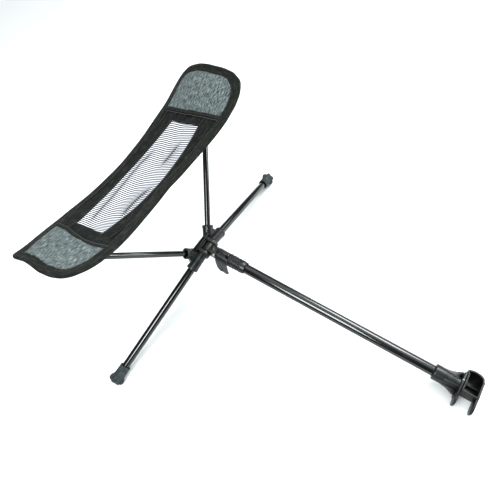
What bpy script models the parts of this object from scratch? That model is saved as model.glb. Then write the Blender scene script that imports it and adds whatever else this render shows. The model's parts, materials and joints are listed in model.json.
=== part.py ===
"""Clip-on folding leg rest for a camp chair: a fabric sling on two poles, a moulded
hub on two legs, and a telescopic arm that ends in a snap-on clip.

Every piece is modelled in the arm's own frame: +X along the arm towards the clip,
+Z square to the arm plane, +Y to the right-hand leg, origin at the middle of the hub.
The empty "stance" then tips that frame until both feet and the clip stand on the floor.
"""

import math

import bmesh
import bpy
from mathutils import Matrix, Vector

GAP = 0.0003

# Hub and knuckle
HUB_X = (-0.017, 0.013)
HUB_HALF_WIDTH = 0.0175
HUB_Z = (-0.0125, 0.0105)
SLOT_BACK_X = -0.007
SLOT_HALF_WIDTH = 0.010
PIVOT_X = 0.003
PIVOT_RADIUS = 0.003
PIVOT_HALF_LENGTH = 0.022
KNUCKLE_RADIUS = 0.0094
KNUCKLE_HALF_WIDTH = 0.0087
WASHER_RADIUS = 0.0075
WASHER_THICKNESS = 0.0007
FLANGE_X = (0.0195, 0.0245)
FLANGE_RADIUS = 0.011
SPIGOT_RADIUS = 0.005
SPIGOT_X = (0.0105, 0.044)
RIVET_X = 0.0222
RIVET_ANGLE = math.radians(58)

# Legs, measured along each leg from its root
LEG_ROOT = Vector((0.0, 0.0164, 0.0))
LEG_END = Vector((-0.0339, 0.2870, -0.1222))
LEG_RADIUS = 0.00725
LEG_BORE = 0.00625
LEG_SPAN = (0.0086, 0.290)
LEG_SOCKET_RADIUS = 0.0112
LEG_SOCKET_END = 0.036
FOOT_SPAN = (0.262, 0.299)
FOOT_LOBES = 6

# Sling poles, measured along each pole from its root
POLE_ROOT = Vector((-0.0111, 0.0183, -0.0047))
POLE_TIP = Vector((-0.1385, 0.2195, 0.1684))
POLE_RADIUS = 0.0055
POLE_BORE = 0.0045
POLE_START = 0.0066
POLE_SOCKET_RADIUS = 0.0105
POLE_SOCKET_END = 0.028
TIP_CAP_LENGTH = 0.024
TIP_CAP_RADIUS = 0.0061

# Sling
SLING_MIDDLE_X = -0.128
SLING_END_Y = 0.236
SLING_END_Z = 0.188
SLING_SAG = 0.055
SLING_TILT = math.radians(16.8)
SLING_BACK = 0.066
SLING_FRONT = 0.070
SLING_FRONT_BULGE = 0.021
SLING_THICKNESS = 0.0025
SLING_END_OUTLINE = ((0.0, 0.229), (0.18, 0.247), (0.80, 0.243), (0.93, 0.238), (1.0, 0.226))
POCKET_LENGTH = 0.042
POCKET_RADIUS = 0.0078

# Telescopic arm
INNER_RADIUS = 0.008
INNER_BORE = 0.007
INNER_X = (0.0249, 0.404)
OUTER_RADIUS = 0.0095
OUTER_BORE = 0.00835
OUTER_X = (0.0523, 0.484)
COLLAR_X = (0.0250, 0.0885)
COLLAR_SHOULDER_X = 0.052
CLAMP_RADIUS = 0.0116
SLEEVE_RADIUS = 0.0123

# Lock lever: it turns on a pin along the arm, above the collar
LEVER_PIN_Z = 0.0153
LEVER_PIN_RADIUS = 0.0015
LEVER_BARREL_RADIUS = 0.0034
LEVER_X = (0.0283, 0.0477)
LEVER_INNER = 0.0128
LEVER_THICKNESS = 0.0024
LEVER_WRAP = math.radians(86)
LEVER_TAIL = 0.027
LEVER_TAIL_SHIFT = 0.008
EAR_X = ((0.0253, 0.0280), (0.0480, 0.0507))

# Clip
SOCKET_X = (0.461, 0.5035)
SOCKET_BORE_END = 0.487
FLANGE_END_X = 0.509
FLANGE_HALF_HEIGHT = 0.0140
JAW_FAR_X = 0.538
JAW_BACK_Y = 0.033
JAW_MOUTH_Y = -0.012
PRONG_TIP_Y = -0.038
PRONG_HALF_HEIGHT = 0.011
PRONG_THICKNESS = 0.004
JAW_HALF_HEIGHT = 0.012
JAW_WALL = 0.0035
CLIP_SCREW_SPOTS = ((0.0155, 0.0075), (0.0155, -0.0075))

ROUND = 32
SMALL_ROUND = 16


def remove_everything():
    """Start from an empty scene."""
    for obj in list(bpy.data.objects):
        bpy.data.objects.remove(obj, do_unlink=True)


def make_material(name, colour, roughness, metallic=0.0):
    """A plain Principled finish."""
    material = bpy.data.materials.new(name)
    material.use_nodes = True
    shader = material.node_tree.nodes["Principled BSDF"]
    shader.inputs["Base Color"].default_value = (*colour, 1.0)
    shader.inputs["Roughness"].default_value = roughness
    shader.inputs["Metallic"].default_value = metallic
    return material


def mirrored(point, side):
    """The point on the left (-1) or right (+1) half."""
    return Vector((point.x, side * point.y, point.z))


def aim(origin, direction):
    """A placement whose +Z runs along direction and whose +X points as far down as it can."""
    along = direction.normalized()
    down = Vector((0, 0, -1)) - along * along.dot(Vector((0, 0, -1)))
    if down.length < 1e-6:
        down = Vector((1, 0, 0))
    down.normalize()
    across = along.cross(down)
    rotation = Matrix((down, across, along)).transposed()
    return Matrix.Translation(origin) @ rotation.to_4x4()


def along_x(x=0.0, y=0.0, z=0.0):
    """A placement whose +Z runs along the arm."""
    return aim(Vector((x, y, z)), Vector((1, 0, 0)))


def along_y(x=0.0, y=0.0, z=0.0):
    """A placement whose +Z runs across the arm, to the right."""
    return aim(Vector((x, y, z)), Vector((0, 1, 0)))


def leg_axis(side):
    """Placement of a leg, +Z from its root to its foot."""
    root = mirrored(LEG_ROOT, side)
    return aim(root, mirrored(LEG_END, side) - root)


def pole_axis(side):
    """Placement of a sling pole, +Z from its root to its tip."""
    root = mirrored(POLE_ROOT, side)
    return aim(root, mirrored(POLE_TIP, side) - root)


def pole_length():
    """Root to tip of a sling pole."""
    return (POLE_TIP - POLE_ROOT).length


def add_object(name, bm, material, parent, place=None, smooth_angle=40):
    """Turn a bmesh into a named object on its parent; place is in the arm's frame."""
    bmesh.ops.recalc_face_normals(bm, faces=bm.faces)
    mesh = bpy.data.meshes.new(name)
    bm.to_mesh(mesh)
    bm.free()
    mesh.shade_smooth()
    mesh.set_sharp_from_angle(angle=math.radians(smooth_angle))
    mesh.materials.append(material)
    obj = bpy.data.objects.new(name, mesh)
    bpy.context.scene.collection.objects.link(obj)
    obj.parent = parent
    parent_place = Matrix.Translation(parent.location) if parent.parent else Matrix.Identity(4)
    obj.matrix_local = parent_place.inverted() @ (place or Matrix.Identity(4))
    return obj


def turned(profile, segments=ROUND, lobes=None):
    """Revolve (radius, height) points about Z; a point with radius 0 closes the form.

    A profile that starts and ends at radius 0 is solid, any other is a closed ring.
    lobes gives, for each point, how far the radius swells on each lobe.
    """
    bm = bmesh.new()
    rings = []
    for index, (radius, height) in enumerate(profile):
        if radius == 0:
            rings.append([bm.verts.new((0, 0, height))])
            continue
        swell = lobes[index] if lobes else 0.0
        ring = []
        for step in range(segments):
            angle = 2 * math.pi * step / segments
            reach = radius + swell * (0.5 + 0.5 * math.cos(FOOT_LOBES * angle)) ** 0.7
            ring.append(bm.verts.new((reach * math.cos(angle), reach * math.sin(angle), height)))
        rings.append(ring)
    closed = profile[0][0] != 0
    pairs = list(zip(rings, rings[1:]))
    if closed:
        pairs.append((rings[-1], rings[0]))
    for first, second in pairs:
        for step in range(segments):
            following = (step + 1) % segments
            if len(first) == 1:
                bm.faces.new((first[0], second[following], second[step]))
            elif len(second) == 1:
                bm.faces.new((first[step], first[following], second[0]))
            else:
                bm.faces.new((first[step], first[following], second[following], second[step]))
    return bm


def rod(radius, start, end, segments=ROUND):
    """A solid round bar along Z."""
    return turned([(0, start), (radius, start), (radius, end), (0, end)], segments)


def pipe(outer, inner, start, end, segments=ROUND):
    """A round tube along Z, open at both ends."""
    return turned([(inner, start), (outer, start), (outer, end), (inner, end)], segments)


def block(low, high):
    """A box between two corners."""
    bm = bmesh.new()
    bmesh.ops.create_cube(bm, size=1.0)
    size = Vector(high) - Vector(low)
    middle = (Vector(high) + Vector(low)) / 2
    for vert in bm.verts:
        vert.co = Vector(vert.co[i] * size[i] + middle[i] for i in range(3))
    return bm


def slab(outline, low, high, flat_axis):
    """Extrude a flat outline between two levels of the axis it is square to."""
    bm = bmesh.new()
    order = {"X": (2, 0, 1), "Y": (0, 2, 1), "Z": (0, 1, 2)}[flat_axis]

    def corner(point, level):
        values = (point[0], point[1], level)
        return Vector(values[i] for i in order)

    bottom = [bm.verts.new(corner(point, low)) for point in outline]
    top = [bm.verts.new(corner(point, high)) for point in outline]
    bm.faces.new(bottom)
    bm.faces.new(top)
    for step in range(len(outline)):
        following = (step + 1) % len(outline)
        bm.faces.new((bottom[step], bottom[following], top[following], top[step]))
    return bm


def change(obj, operation, bm, place=None):
    """Join a shape to obj, or cut it away, with a live Boolean."""
    number = len(obj.modifiers)
    material = obj.data.materials[0]
    tool = add_object(f"{obj.name}_tool_{number}", bm, material, obj.parent, place)
    tool.hide_render = True
    tool.display_type = "WIRE"
    tool.hide_set(True)
    boolean = obj.modifiers.new(f"{operation.lower()}_{number}", "BOOLEAN")
    boolean.operation = operation
    boolean.solver = "EXACT"
    boolean.object = tool


def soften(obj, width, segments=1):
    """Bevel the sharp edges of a moulding."""
    bevel = obj.modifiers.new("softened_edges", "BEVEL")
    bevel.width = width
    bevel.segments = segments
    bevel.limit_method = "ANGLE"
    bevel.angle_limit = math.radians(50)


def make_empty(name, parent=None, location=(0, 0, 0)):
    """An empty that carries pieces."""
    empty = bpy.data.objects.new(name, None)
    bpy.context.scene.collection.objects.link(empty)
    empty.parent = parent
    empty.location = location
    return empty


def make_hub(parent, plastic):
    """One moulding: a block with a clevis slot, two leg sockets and two pole sockets."""
    body = block((HUB_X[0], -HUB_HALF_WIDTH, HUB_Z[0]), (HUB_X[1], HUB_HALF_WIDTH, HUB_Z[1]))
    hub = add_object("hub_body", body, plastic, parent)
    soften(hub, 0.003, 2)
    for side in (-1, 1):
        leg = turned([(0, -0.002), (LEG_SOCKET_RADIUS, -0.002),
                      (LEG_SOCKET_RADIUS, LEG_SOCKET_END - 0.001),
                      (LEG_SOCKET_RADIUS - 0.001, LEG_SOCKET_END), (0, LEG_SOCKET_END)])
        change(hub, "UNION", leg, leg_axis(side))
        pole = turned([(0, -0.002), (POLE_SOCKET_RADIUS - 0.0007, -0.002),
                       (POLE_SOCKET_RADIUS, POLE_SOCKET_END - 0.001),
                       (POLE_SOCKET_RADIUS - 0.001, POLE_SOCKET_END), (0, POLE_SOCKET_END)])
        change(hub, "UNION", pole, pole_axis(side))
    for rib_x in (-0.0145, -0.0095):
        rib = block((rib_x - 0.0009, -0.0155, 0.006), (rib_x + 0.0009, 0.0155, 0.0128))
        change(hub, "UNION", rib)
    slot = block((SLOT_BACK_X, -SLOT_HALF_WIDTH, -0.04), (0.04, SLOT_HALF_WIDTH, 0.04))
    change(hub, "DIFFERENCE", slot)
    for side in (-1, 1):
        change(hub, "DIFFERENCE", rod(LEG_RADIUS + GAP, 0.0080, 0.05), leg_axis(side))
        change(hub, "DIFFERENCE", rod(POLE_RADIUS + GAP, 0.0060, 0.05), pole_axis(side))
        change(hub, "DIFFERENCE", rod(0.0013, 0.004, 0.014, SMALL_ROUND), rivet_place(side))
    pivot = rod(PIVOT_RADIUS + GAP, -0.0225, 0.0225, SMALL_ROUND)
    change(hub, "DIFFERENCE", pivot, along_y(PIVOT_X))
    return hub


def rivet_place(side):
    """Placement of a pole rivet, +Z out of the socket wall near its rim, upwards."""
    axis = pole_axis(side)
    up = -(axis.to_3x3() @ Vector((1, 0, 0)))
    return aim(axis @ Vector((0, 0, 0.0215)), up)


def make_pole_rivet(side, label, parent, steel):
    """The domed rivet that pins a pole in its socket."""
    profile = [(0, 0.0060), (0.0010, 0.0060), (0.0010, 0.0108), (0.0023, 0.0108),
               (0.0021, 0.0117), (0.0012, 0.0122), (0, 0.0123)]
    add_object(f"pole_rivet_{label}", turned(profile, SMALL_ROUND), steel, parent,
               rivet_place(side))


def make_foot_profile():
    """A rubber cup that flares into a lobed base; (radius, distance, swell of the lobes)."""
    start, end = FOOT_SPAN
    bore = LEG_RADIUS + GAP
    return [(bore, LEG_SPAN[1] + GAP, 0), (bore, start, 0), (0.0092, start, 0),
            (0.0098, start + 0.0012, 0), (0.0106, end - 0.016, 0), (0.0108, end - 0.010, 0.0012),
            (0.0109, end - 0.006, 0.0036), (0.0106, end - 0.002, 0.0034),
            (0.0092, end, 0.0026)]


def make_foot(side, label, parent, rubber):
    """A foot: the turned cup, with its floor closed at both faces."""
    points = make_foot_profile()
    profile = [(0, LEG_SPAN[1] + GAP)] + [(r, h) for r, h, _ in points] + [(0, FOOT_SPAN[1])]
    swell = [0] + [s for _, _, s in points] + [0]
    foot = turned(profile, 48, swell)
    return add_object(f"foot_{label}", foot, rubber, parent, leg_axis(side))


def make_leg(side, label, parent, tube, rubber, cord):
    """A leg tube with its foot and the elastic cord inside it."""
    axis = leg_axis(side)
    tube_mesh = pipe(LEG_RADIUS, LEG_BORE, *LEG_SPAN)
    add_object(f"leg_tube_{label}", tube_mesh, tube, parent, axis)
    elastic = rod(0.0015, LEG_SPAN[0] + 0.001, LEG_SPAN[1] - 0.001, 8)
    add_object(f"shock_cord_{label}", elastic, cord, parent, axis)
    return make_foot(side, label, parent, rubber)


def make_pole(side, label, parent, tube, plastic, steel):
    """A sling pole with its end cap and the rivet in its socket."""
    axis = pole_axis(side)
    end = pole_length()
    tube_mesh = pipe(POLE_RADIUS, POLE_BORE, POLE_START, end - 0.006)
    tube_object = add_object(f"sling_pole_{label}", tube_mesh, tube, parent, axis)
    hole = rod(0.0013, 0.001, 0.014, SMALL_ROUND)
    change(tube_object, "DIFFERENCE", hole, rivet_place(side))
    inner = POLE_RADIUS + GAP
    cap = turned([(0, end - 0.0057), (inner, end - 0.0057), (inner, end - TIP_CAP_LENGTH),
                  (TIP_CAP_RADIUS + 0.0006, end - TIP_CAP_LENGTH), (TIP_CAP_RADIUS + 0.0004, end - 0.008),
                  (0.0052, end - 0.003), (0.0030, end - 0.0006), (0, end)])
    add_object(f"pole_cap_{label}", cap, plastic, parent, axis)
    make_pole_rivet(side, label, parent, steel)


def sling_point(along, across):
    """Middle surface of the sling: along -1..1 to the right, across 0..1 back to front."""
    reach = abs(along)
    back = -SLING_BACK - 0.003 * reach ** 2
    front = SLING_FRONT + SLING_FRONT_BULGE * math.sin(math.pi * reach ** 1.6)
    width = back + (front - back) * across
    y = along * outline_reach(across)
    z = SLING_END_Z - SLING_SAG * (1 - (y / SLING_END_Y) ** 2)
    return Vector((SLING_MIDDLE_X + width * math.cos(SLING_TILT), y,
                   z + width * math.sin(SLING_TILT)))


def outline_reach(across):
    """How far each end of the sling reaches, a pointed end with round corners."""
    for (start, low), (stop, high) in zip(SLING_END_OUTLINE, SLING_END_OUTLINE[1:]):
        if across <= stop:
            return low + (high - low) * (across - start) / (stop - start)
    return SLING_END_OUTLINE[-1][1]


def sling_normal(along, across):
    """Upward normal of the sling's surface."""
    step = 0.001
    run = sling_point(along + step, across) - sling_point(along - step, across)
    side = sling_point(along, across + step) - sling_point(along, across - step)
    return side.cross(run).normalized()


def make_sling(parent, fabric):
    """The seat cloth as one curved sheet that hangs between the two poles."""
    columns, rows = 28, 10
    bm = bmesh.new()
    faces = {}
    for layer in (-1, 1):
        grid = []
        for i in range(columns + 1):
            along = -1 + 2 * i / columns
            line = []
            for j in range(rows + 1):
                across = j / rows
                inside = min(max(across, 0.002), 0.998)
                normal = sling_normal(along * 0.998, inside)
                point = sling_point(along, across) + normal * (layer * SLING_THICKNESS / 2)
                line.append(bm.verts.new(point))
            grid.append(line)
        faces[layer] = grid
        for i in range(columns):
            for j in range(rows):
                bm.faces.new((grid[i][j], grid[i + 1][j], grid[i + 1][j + 1], grid[i][j + 1]))
    low, high = faces[-1], faces[1]
    for i in range(columns):
        for j in (0, rows):
            bm.faces.new((low[i][j], low[i + 1][j], high[i + 1][j], high[i][j]))
    for j in range(rows):
        for i in (0, columns):
            bm.faces.new((low[i][j], low[i][j + 1], high[i][j + 1], high[i][j]))
    add_object("sling_panel", bm, fabric, parent, smooth_angle=60)


def make_pocket(side, label, parent, fabric):
    """The sewn sleeve under the sling's end that a pole's capped tip pushes into."""
    end = pole_length()
    start = end - POCKET_LENGTH
    inner = TIP_CAP_RADIUS + 0.0006 + GAP
    cup = turned([(0, end + GAP), (0.0034, end - 0.0002), (0.0056, end - 0.0028), (inner, end - 0.0078),
                  (inner, start), (POCKET_RADIUS, start), (POCKET_RADIUS, end - 0.0074),
                  (0.0064, end - 0.002), (0.0040, end + 0.0009), (0, end + 0.0014)])
    add_object(f"pole_pocket_{label}", cup, fabric, parent, pole_axis(side))


def make_pivot(parent, steel, plastic):
    """Pivot pin through the hub's clevis, with a thin washer each side of the knuckle."""
    pin = rod(PIVOT_RADIUS, -PIVOT_HALF_LENGTH, PIVOT_HALF_LENGTH, SMALL_ROUND)
    add_object("pivot_pin", pin, steel, parent, along_y(PIVOT_X))
    for side, label in ((-1, "left"), (1, "right")):
        middle = side * (KNUCKLE_HALF_WIDTH + SLOT_HALF_WIDTH) / 2
        washer = pipe(WASHER_RADIUS, PIVOT_RADIUS + GAP,
                      middle - WASHER_THICKNESS / 2, middle + WASHER_THICKNESS / 2)
        add_object(f"pivot_washer_{label}", washer, plastic, parent, along_y(PIVOT_X))


def make_knuckle(parent, plastic, steel):
    """The hinged block: a round eye on the pivot pin, a neck and a flange for the arm."""
    eye = rod(KNUCKLE_RADIUS, -KNUCKLE_HALF_WIDTH, KNUCKLE_HALF_WIDTH)
    knuckle = add_object("knuckle", eye, plastic, parent, along_y(PIVOT_X))
    neck = block((PIVOT_X, -KNUCKLE_HALF_WIDTH, -0.0085), (FLANGE_X[0] + 0.001, KNUCKLE_HALF_WIDTH, 0.0085))
    change(knuckle, "UNION", neck)
    flange = turned([(0, FLANGE_X[0]), (FLANGE_RADIUS - 0.001, FLANGE_X[0]),
                     (FLANGE_RADIUS, FLANGE_X[0] + 0.001), (FLANGE_RADIUS, FLANGE_X[1]),
                     (0, FLANGE_X[1])])
    change(knuckle, "UNION", flange, along_x())
    pin_hole = rod(PIVOT_RADIUS + GAP, -0.02, 0.02, SMALL_ROUND)
    change(knuckle, "DIFFERENCE", pin_hole, along_y(PIVOT_X))
    change(knuckle, "DIFFERENCE", rod(SPIGOT_RADIUS + GAP, SPIGOT_X[0] - GAP, 0.05), along_x())
    change(knuckle, "DIFFERENCE", rod(0.0018, 0.0, 0.02, SMALL_ROUND), knuckle_rivet_place())
    spigot = add_object("arm_spigot", rod(SPIGOT_RADIUS, *SPIGOT_X), steel, parent, along_x())
    change(spigot, "DIFFERENCE", rod(0.0023, 0.033, 0.06, SMALL_ROUND), along_x())
    change(spigot, "DIFFERENCE", rod(0.0018, 0.0, 0.02, SMALL_ROUND), knuckle_rivet_place())
    rivet = turned([(0, 0.0012), (0.0015, 0.0012), (0.0015, 0.0113), (0.0027, 0.0113),
                    (0.0024, 0.0124), (0.0014, 0.0130), (0, 0.0132)], SMALL_ROUND)
    add_object("spigot_rivet", rivet, steel, parent, knuckle_rivet_place())
    screw = turned([(0, 0.0340), (0.0020, 0.0340), (0.0020, 0.0443), (0.0060, 0.0443),
                    (0.0060, 0.0464), (0.0048, 0.0474), (0, 0.0474)], SMALL_ROUND)
    add_object("swivel_screw", screw, steel, parent, along_x())


def knuckle_rivet_place():
    """Placement of the rivet that holds the spigot, +Z outwards, up and to the left."""
    outward = Vector((0, -math.sin(RIVET_ANGLE), math.cos(RIVET_ANGLE)))
    return aim(Vector((RIVET_X, 0, 0)), outward)


def make_inner_tube(parent, tube, plastic):
    """The inner arm tube, the bush it turns on and the guide at its far end."""
    add_object("inner_tube", pipe(INNER_RADIUS, INNER_BORE, *INNER_X), tube, parent, along_x())
    bush = pipe(INNER_BORE - GAP, SPIGOT_RADIUS + GAP, 0.0252, 0.0439)
    add_object("swivel_bush", bush, plastic, parent, along_x())
    guide = turned([(0, 0.392), (INNER_BORE - GAP, 0.392), (INNER_BORE - GAP, INNER_X[1] + GAP),
                    (INNER_RADIUS + 0.0001, INNER_X[1] + GAP), (INNER_RADIUS + 0.0001, 0.4075),
                    (INNER_RADIUS - 0.0008, 0.4083), (0, 0.4083)])
    add_object("tube_guide", guide, plastic, parent, along_x())


def make_lock_collar(parent, plastic):
    """The split clamp and sleeve in one moulding, with two ears for the lever's pin."""
    bore = INNER_RADIUS + GAP
    profile = [(bore, COLLAR_X[0]), (CLAMP_RADIUS - 0.0008, COLLAR_X[0]),
               (CLAMP_RADIUS, COLLAR_X[0] + 0.0008), (CLAMP_RADIUS, 0.0505),
               (SLEEVE_RADIUS, COLLAR_SHOULDER_X), (SLEEVE_RADIUS, 0.0815),
               (0.0110, COLLAR_X[1]), (OUTER_RADIUS + GAP, COLLAR_X[1]),
               (OUTER_RADIUS + GAP, COLLAR_SHOULDER_X), (bore, COLLAR_SHOULDER_X)]
    collar = add_object("lock_collar", turned(profile), plastic, parent, along_x())
    for low, high in EAR_X:
        cheek = block((low, -0.0034, 0.0105), (high, 0.0034, LEVER_PIN_Z))
        change(collar, "UNION", cheek)
        change(collar, "UNION", rod(0.0034, low, high), along_x(z=LEVER_PIN_Z))
    window = block((0.0310, -0.0042, 0.004), (0.0450, 0.0042, 0.0125))
    change(collar, "DIFFERENCE", window)
    pin_hole = rod(LEVER_PIN_RADIUS + GAP, 0.02, 0.06, SMALL_ROUND)
    change(collar, "DIFFERENCE", pin_hole, along_x(z=LEVER_PIN_Z))
    for step in range(4):
        groove_x = 0.0565 + 0.0062 * step
        groove = pipe(0.0140, SLEEVE_RADIUS - 0.0008, groove_x, groove_x + 0.0022)
        change(collar, "DIFFERENCE", groove, along_x())
    pad = block((0.0314, -0.0038, 0.0083), (0.0446, 0.0038, 0.0112))
    add_object("brake_pad", pad, plastic, parent)
    pin = rod(LEVER_PIN_RADIUS, EAR_X[0][0] - 0.0004, EAR_X[1][1] + 0.0004, SMALL_ROUND)
    return pin


def lever_path():
    """Cross-section of the lever's inner face: a wrap round the collar, then a straight tail."""
    points = []
    steps = 10
    start = math.radians(6)
    for step in range(steps + 1):
        angle = start + (LEVER_WRAP - start) * step / steps
        points.append(Vector((0, -math.sin(angle), math.cos(angle))) * LEVER_INNER)
    tangent = Vector((0, -math.cos(LEVER_WRAP), -math.sin(LEVER_WRAP)))
    last = points[-1]
    for step in range(1, 7):
        points.append(last + tangent * (LEVER_TAIL * step / 6))
    return points


def make_lever(parent, plastic):
    """The cam lever: a barrel on the pin, a paddle that hugs the collar and a finger tail."""
    inner = lever_path()
    count = len(inner)
    bm = bmesh.new()
    layers = []
    for thickness in (0.0, LEVER_THICKNESS):
        rows = []
        for index, point in enumerate(inner):
            ahead = inner[min(index + 1, count - 1)] - inner[max(index - 1, 0)]
            outward = ahead.cross(Vector((1, 0, 0))).normalized()
            tail = max(0.0, (index - 8) / (count - 9))
            shift = LEVER_TAIL_SHIFT * tail ** 1.5
            trim = 0.0025 * tail
            row = []
            for step in range(7):
                share = step / 6
                notch = 0.004 * math.exp(-((share - 0.45) / 0.12) ** 2) if index == count - 1 else 0.0
                x = LEVER_X[0] + trim + shift + (LEVER_X[1] - LEVER_X[0] - 2 * trim) * share
                place = point + outward * thickness + Vector((x, 0, notch))
                row.append(bm.verts.new(place))
            rows.append(row)
        layers.append(rows)
        for a, b in zip(rows, rows[1:]):
            for step in range(6):
                bm.faces.new((a[step], a[step + 1], b[step + 1], b[step]))
    low, high = layers
    for index in range(count - 1):
        for step in (0, 6):
            bm.faces.new((low[index][step], low[index + 1][step], high[index + 1][step], high[index][step]))
    for step in range(6):
        for index in (0, count - 1):
            bm.faces.new((low[index][step], low[index][step + 1], high[index][step + 1], high[index][step]))
    lever = add_object("lock_lever", bm, plastic, parent)
    barrel = rod(LEVER_BARREL_RADIUS, *LEVER_X)
    change(lever, "UNION", barrel, along_x(z=LEVER_PIN_Z))
    pin_hole = rod(LEVER_PIN_RADIUS + GAP, 0.02, 0.06, SMALL_ROUND)
    change(lever, "DIFFERENCE", pin_hole, along_x(z=LEVER_PIN_Z))
    return lever


def fin_outline(side):
    """Plan of one of the clip socket's two flared fins."""
    return [(0.474, side * 0.0100), (0.476, side * 0.0138), (0.486, side * 0.0148),
            (SOCKET_X[1] + 0.001, side * 0.0225), (SOCKET_X[1] + 0.001, side * 0.0100)]


def rounded_end(x_low, x_high, tip_y, root_y):
    """Plan of a prong: straight sides and a half-round tip."""
    radius = (x_high - x_low) / 2
    middle = (x_high + x_low) / 2
    points = [(x_low, root_y), (x_low, tip_y + radius)]
    for step in range(1, 8):
        angle = math.pi + math.pi * step / 8
        points.append((middle + radius * math.cos(angle), tip_y + radius + radius * math.sin(angle)))
    points += [(x_high, tip_y + radius), (x_high, root_y)]
    return points


def make_clip(parent, plastic, steel):
    """The clip: a socket with a flange and one prong, and the jaw block with the other."""
    profile = [(OUTER_RADIUS + GAP, SOCKET_X[0]), (0.0130, SOCKET_X[0]), (0.0138, SOCKET_X[0] + 0.001),
               (0.0136, 0.480), (0.0118, 0.498), (0.0118, SOCKET_X[1] + 0.001), (0, SOCKET_X[1] + 0.001),
               (0, SOCKET_BORE_END), (OUTER_RADIUS + GAP, SOCKET_BORE_END)]
    socket_bm = turned([(0, SOCKET_BORE_END)] + [profile[-1]] + profile[:-2])
    clip = add_object("clip_socket", socket_bm, plastic, parent, along_x())
    for side in (-1, 1):
        change(clip, "UNION", slab(fin_outline(side), -0.0032, 0.0032, "Z"))
    flange = block((SOCKET_X[1], JAW_MOUTH_Y - 0.010, -FLANGE_HALF_HEIGHT),
                   (FLANGE_END_X, JAW_BACK_Y - 0.008, FLANGE_HALF_HEIGHT))
    change(clip, "UNION", flange)
    prong = slab(rounded_end(FLANGE_END_X - PRONG_THICKNESS, FLANGE_END_X, PRONG_TIP_Y, -0.014),
                 -PRONG_HALF_HEIGHT, PRONG_HALF_HEIGHT, "Z")
    change(clip, "UNION", prong)

    jaw_x = FLANGE_END_X + GAP
    corner = 0.006
    plan = [(jaw_x, JAW_MOUTH_Y), (jaw_x, JAW_BACK_Y - 0.001), (jaw_x + 0.008, JAW_BACK_Y),
            (jaw_x + 0.016, JAW_BACK_Y - 0.0008), (JAW_FAR_X - 0.005, JAW_BACK_Y - 0.004),
            (JAW_FAR_X - 0.002, JAW_BACK_Y - 0.009), (JAW_FAR_X - 0.002, JAW_BACK_Y - corner - 0.005),
            (JAW_FAR_X, JAW_BACK_Y - corner - 0.006), (JAW_FAR_X, JAW_MOUTH_Y)]
    jaw = add_object("clip_jaw", slab(plan, -JAW_HALF_HEIGHT, JAW_HALF_HEIGHT, "Z"), plastic, parent)
    far_prong = slab(rounded_end(JAW_FAR_X - PRONG_THICKNESS, JAW_FAR_X, PRONG_TIP_Y, JAW_MOUTH_Y + 0.004),
                     -PRONG_HALF_HEIGHT, PRONG_HALF_HEIGHT, "Z")
    change(jaw, "UNION", far_prong)
    core = block((jaw_x + JAW_WALL, JAW_MOUTH_Y + JAW_WALL, -JAW_HALF_HEIGHT + JAW_WALL),
                 (JAW_FAR_X - JAW_WALL - 0.001, JAW_BACK_Y - 0.007, JAW_HALF_HEIGHT + 0.01))
    change(jaw, "DIFFERENCE", core)
    for number, (y, z) in enumerate(CLIP_SCREW_SPOTS):
        label = ("upper", "lower")[number]
        spot = along_x(0.0, y, z)
        for target in (clip, jaw):
            change(target, "DIFFERENCE", rod(0.0018, 0.495, 0.520, SMALL_ROUND), spot)
        head_z = SOCKET_X[1] - GAP
        screw = turned([(0, head_z - 0.0024), (0.0024, head_z - 0.0024), (0.0036, head_z - 0.0012),
                        (0.0036, head_z), (0.0015, head_z), (0.0015, 0.5125), (0, 0.5125)], SMALL_ROUND)
        add_object(f"clip_screw_{label}", screw, steel, parent, spot)
    return clip


def lowest_points(names):
    """Vertices of the finished pieces, in the frame of the empty that carries them."""
    graph = bpy.context.evaluated_depsgraph_get()
    points = []
    for name in names:
        obj = bpy.data.objects[name].evaluated_get(graph)
        mesh = obj.to_mesh()
        points += [obj.matrix_world @ vert.co for vert in mesh.vertices]
        obj.to_mesh_clear()
    return points


def stand_on_floor(stance):
    """Tip the arm's frame until feet and clip touch the floor, then centre the footprint."""
    bpy.context.view_layer.update()
    feet = lowest_points(["foot_left", "foot_right"])
    clip = lowest_points(["clip_socket", "clip_jaw"])

    def drop(points, tilt):
        return min(-p.x * math.sin(tilt) + p.z * math.cos(tilt) for p in points)

    low, high = 0.0, math.radians(30)
    for _ in range(40):
        tilt = (low + high) / 2
        if drop(feet, tilt) < drop(clip, tilt):
            low = tilt
        else:
            high = tilt
    stance.rotation_euler = (0, tilt, 0)
    stance.location = (0, 0, -drop(feet, tilt))
    bpy.context.view_layer.update()
    pieces = [o.name for o in bpy.data.objects if o.type == "MESH" and not o.hide_render]
    everything = lowest_points(pieces)
    middle_x = (min(p.x for p in everything) + max(p.x for p in everything)) / 2
    middle_y = (min(p.y for p in everything) + max(p.y for p in everything)) / 2
    stance.location = (-middle_x, -middle_y, -drop(feet, tilt))
    bpy.context.view_layer.update()


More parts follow.
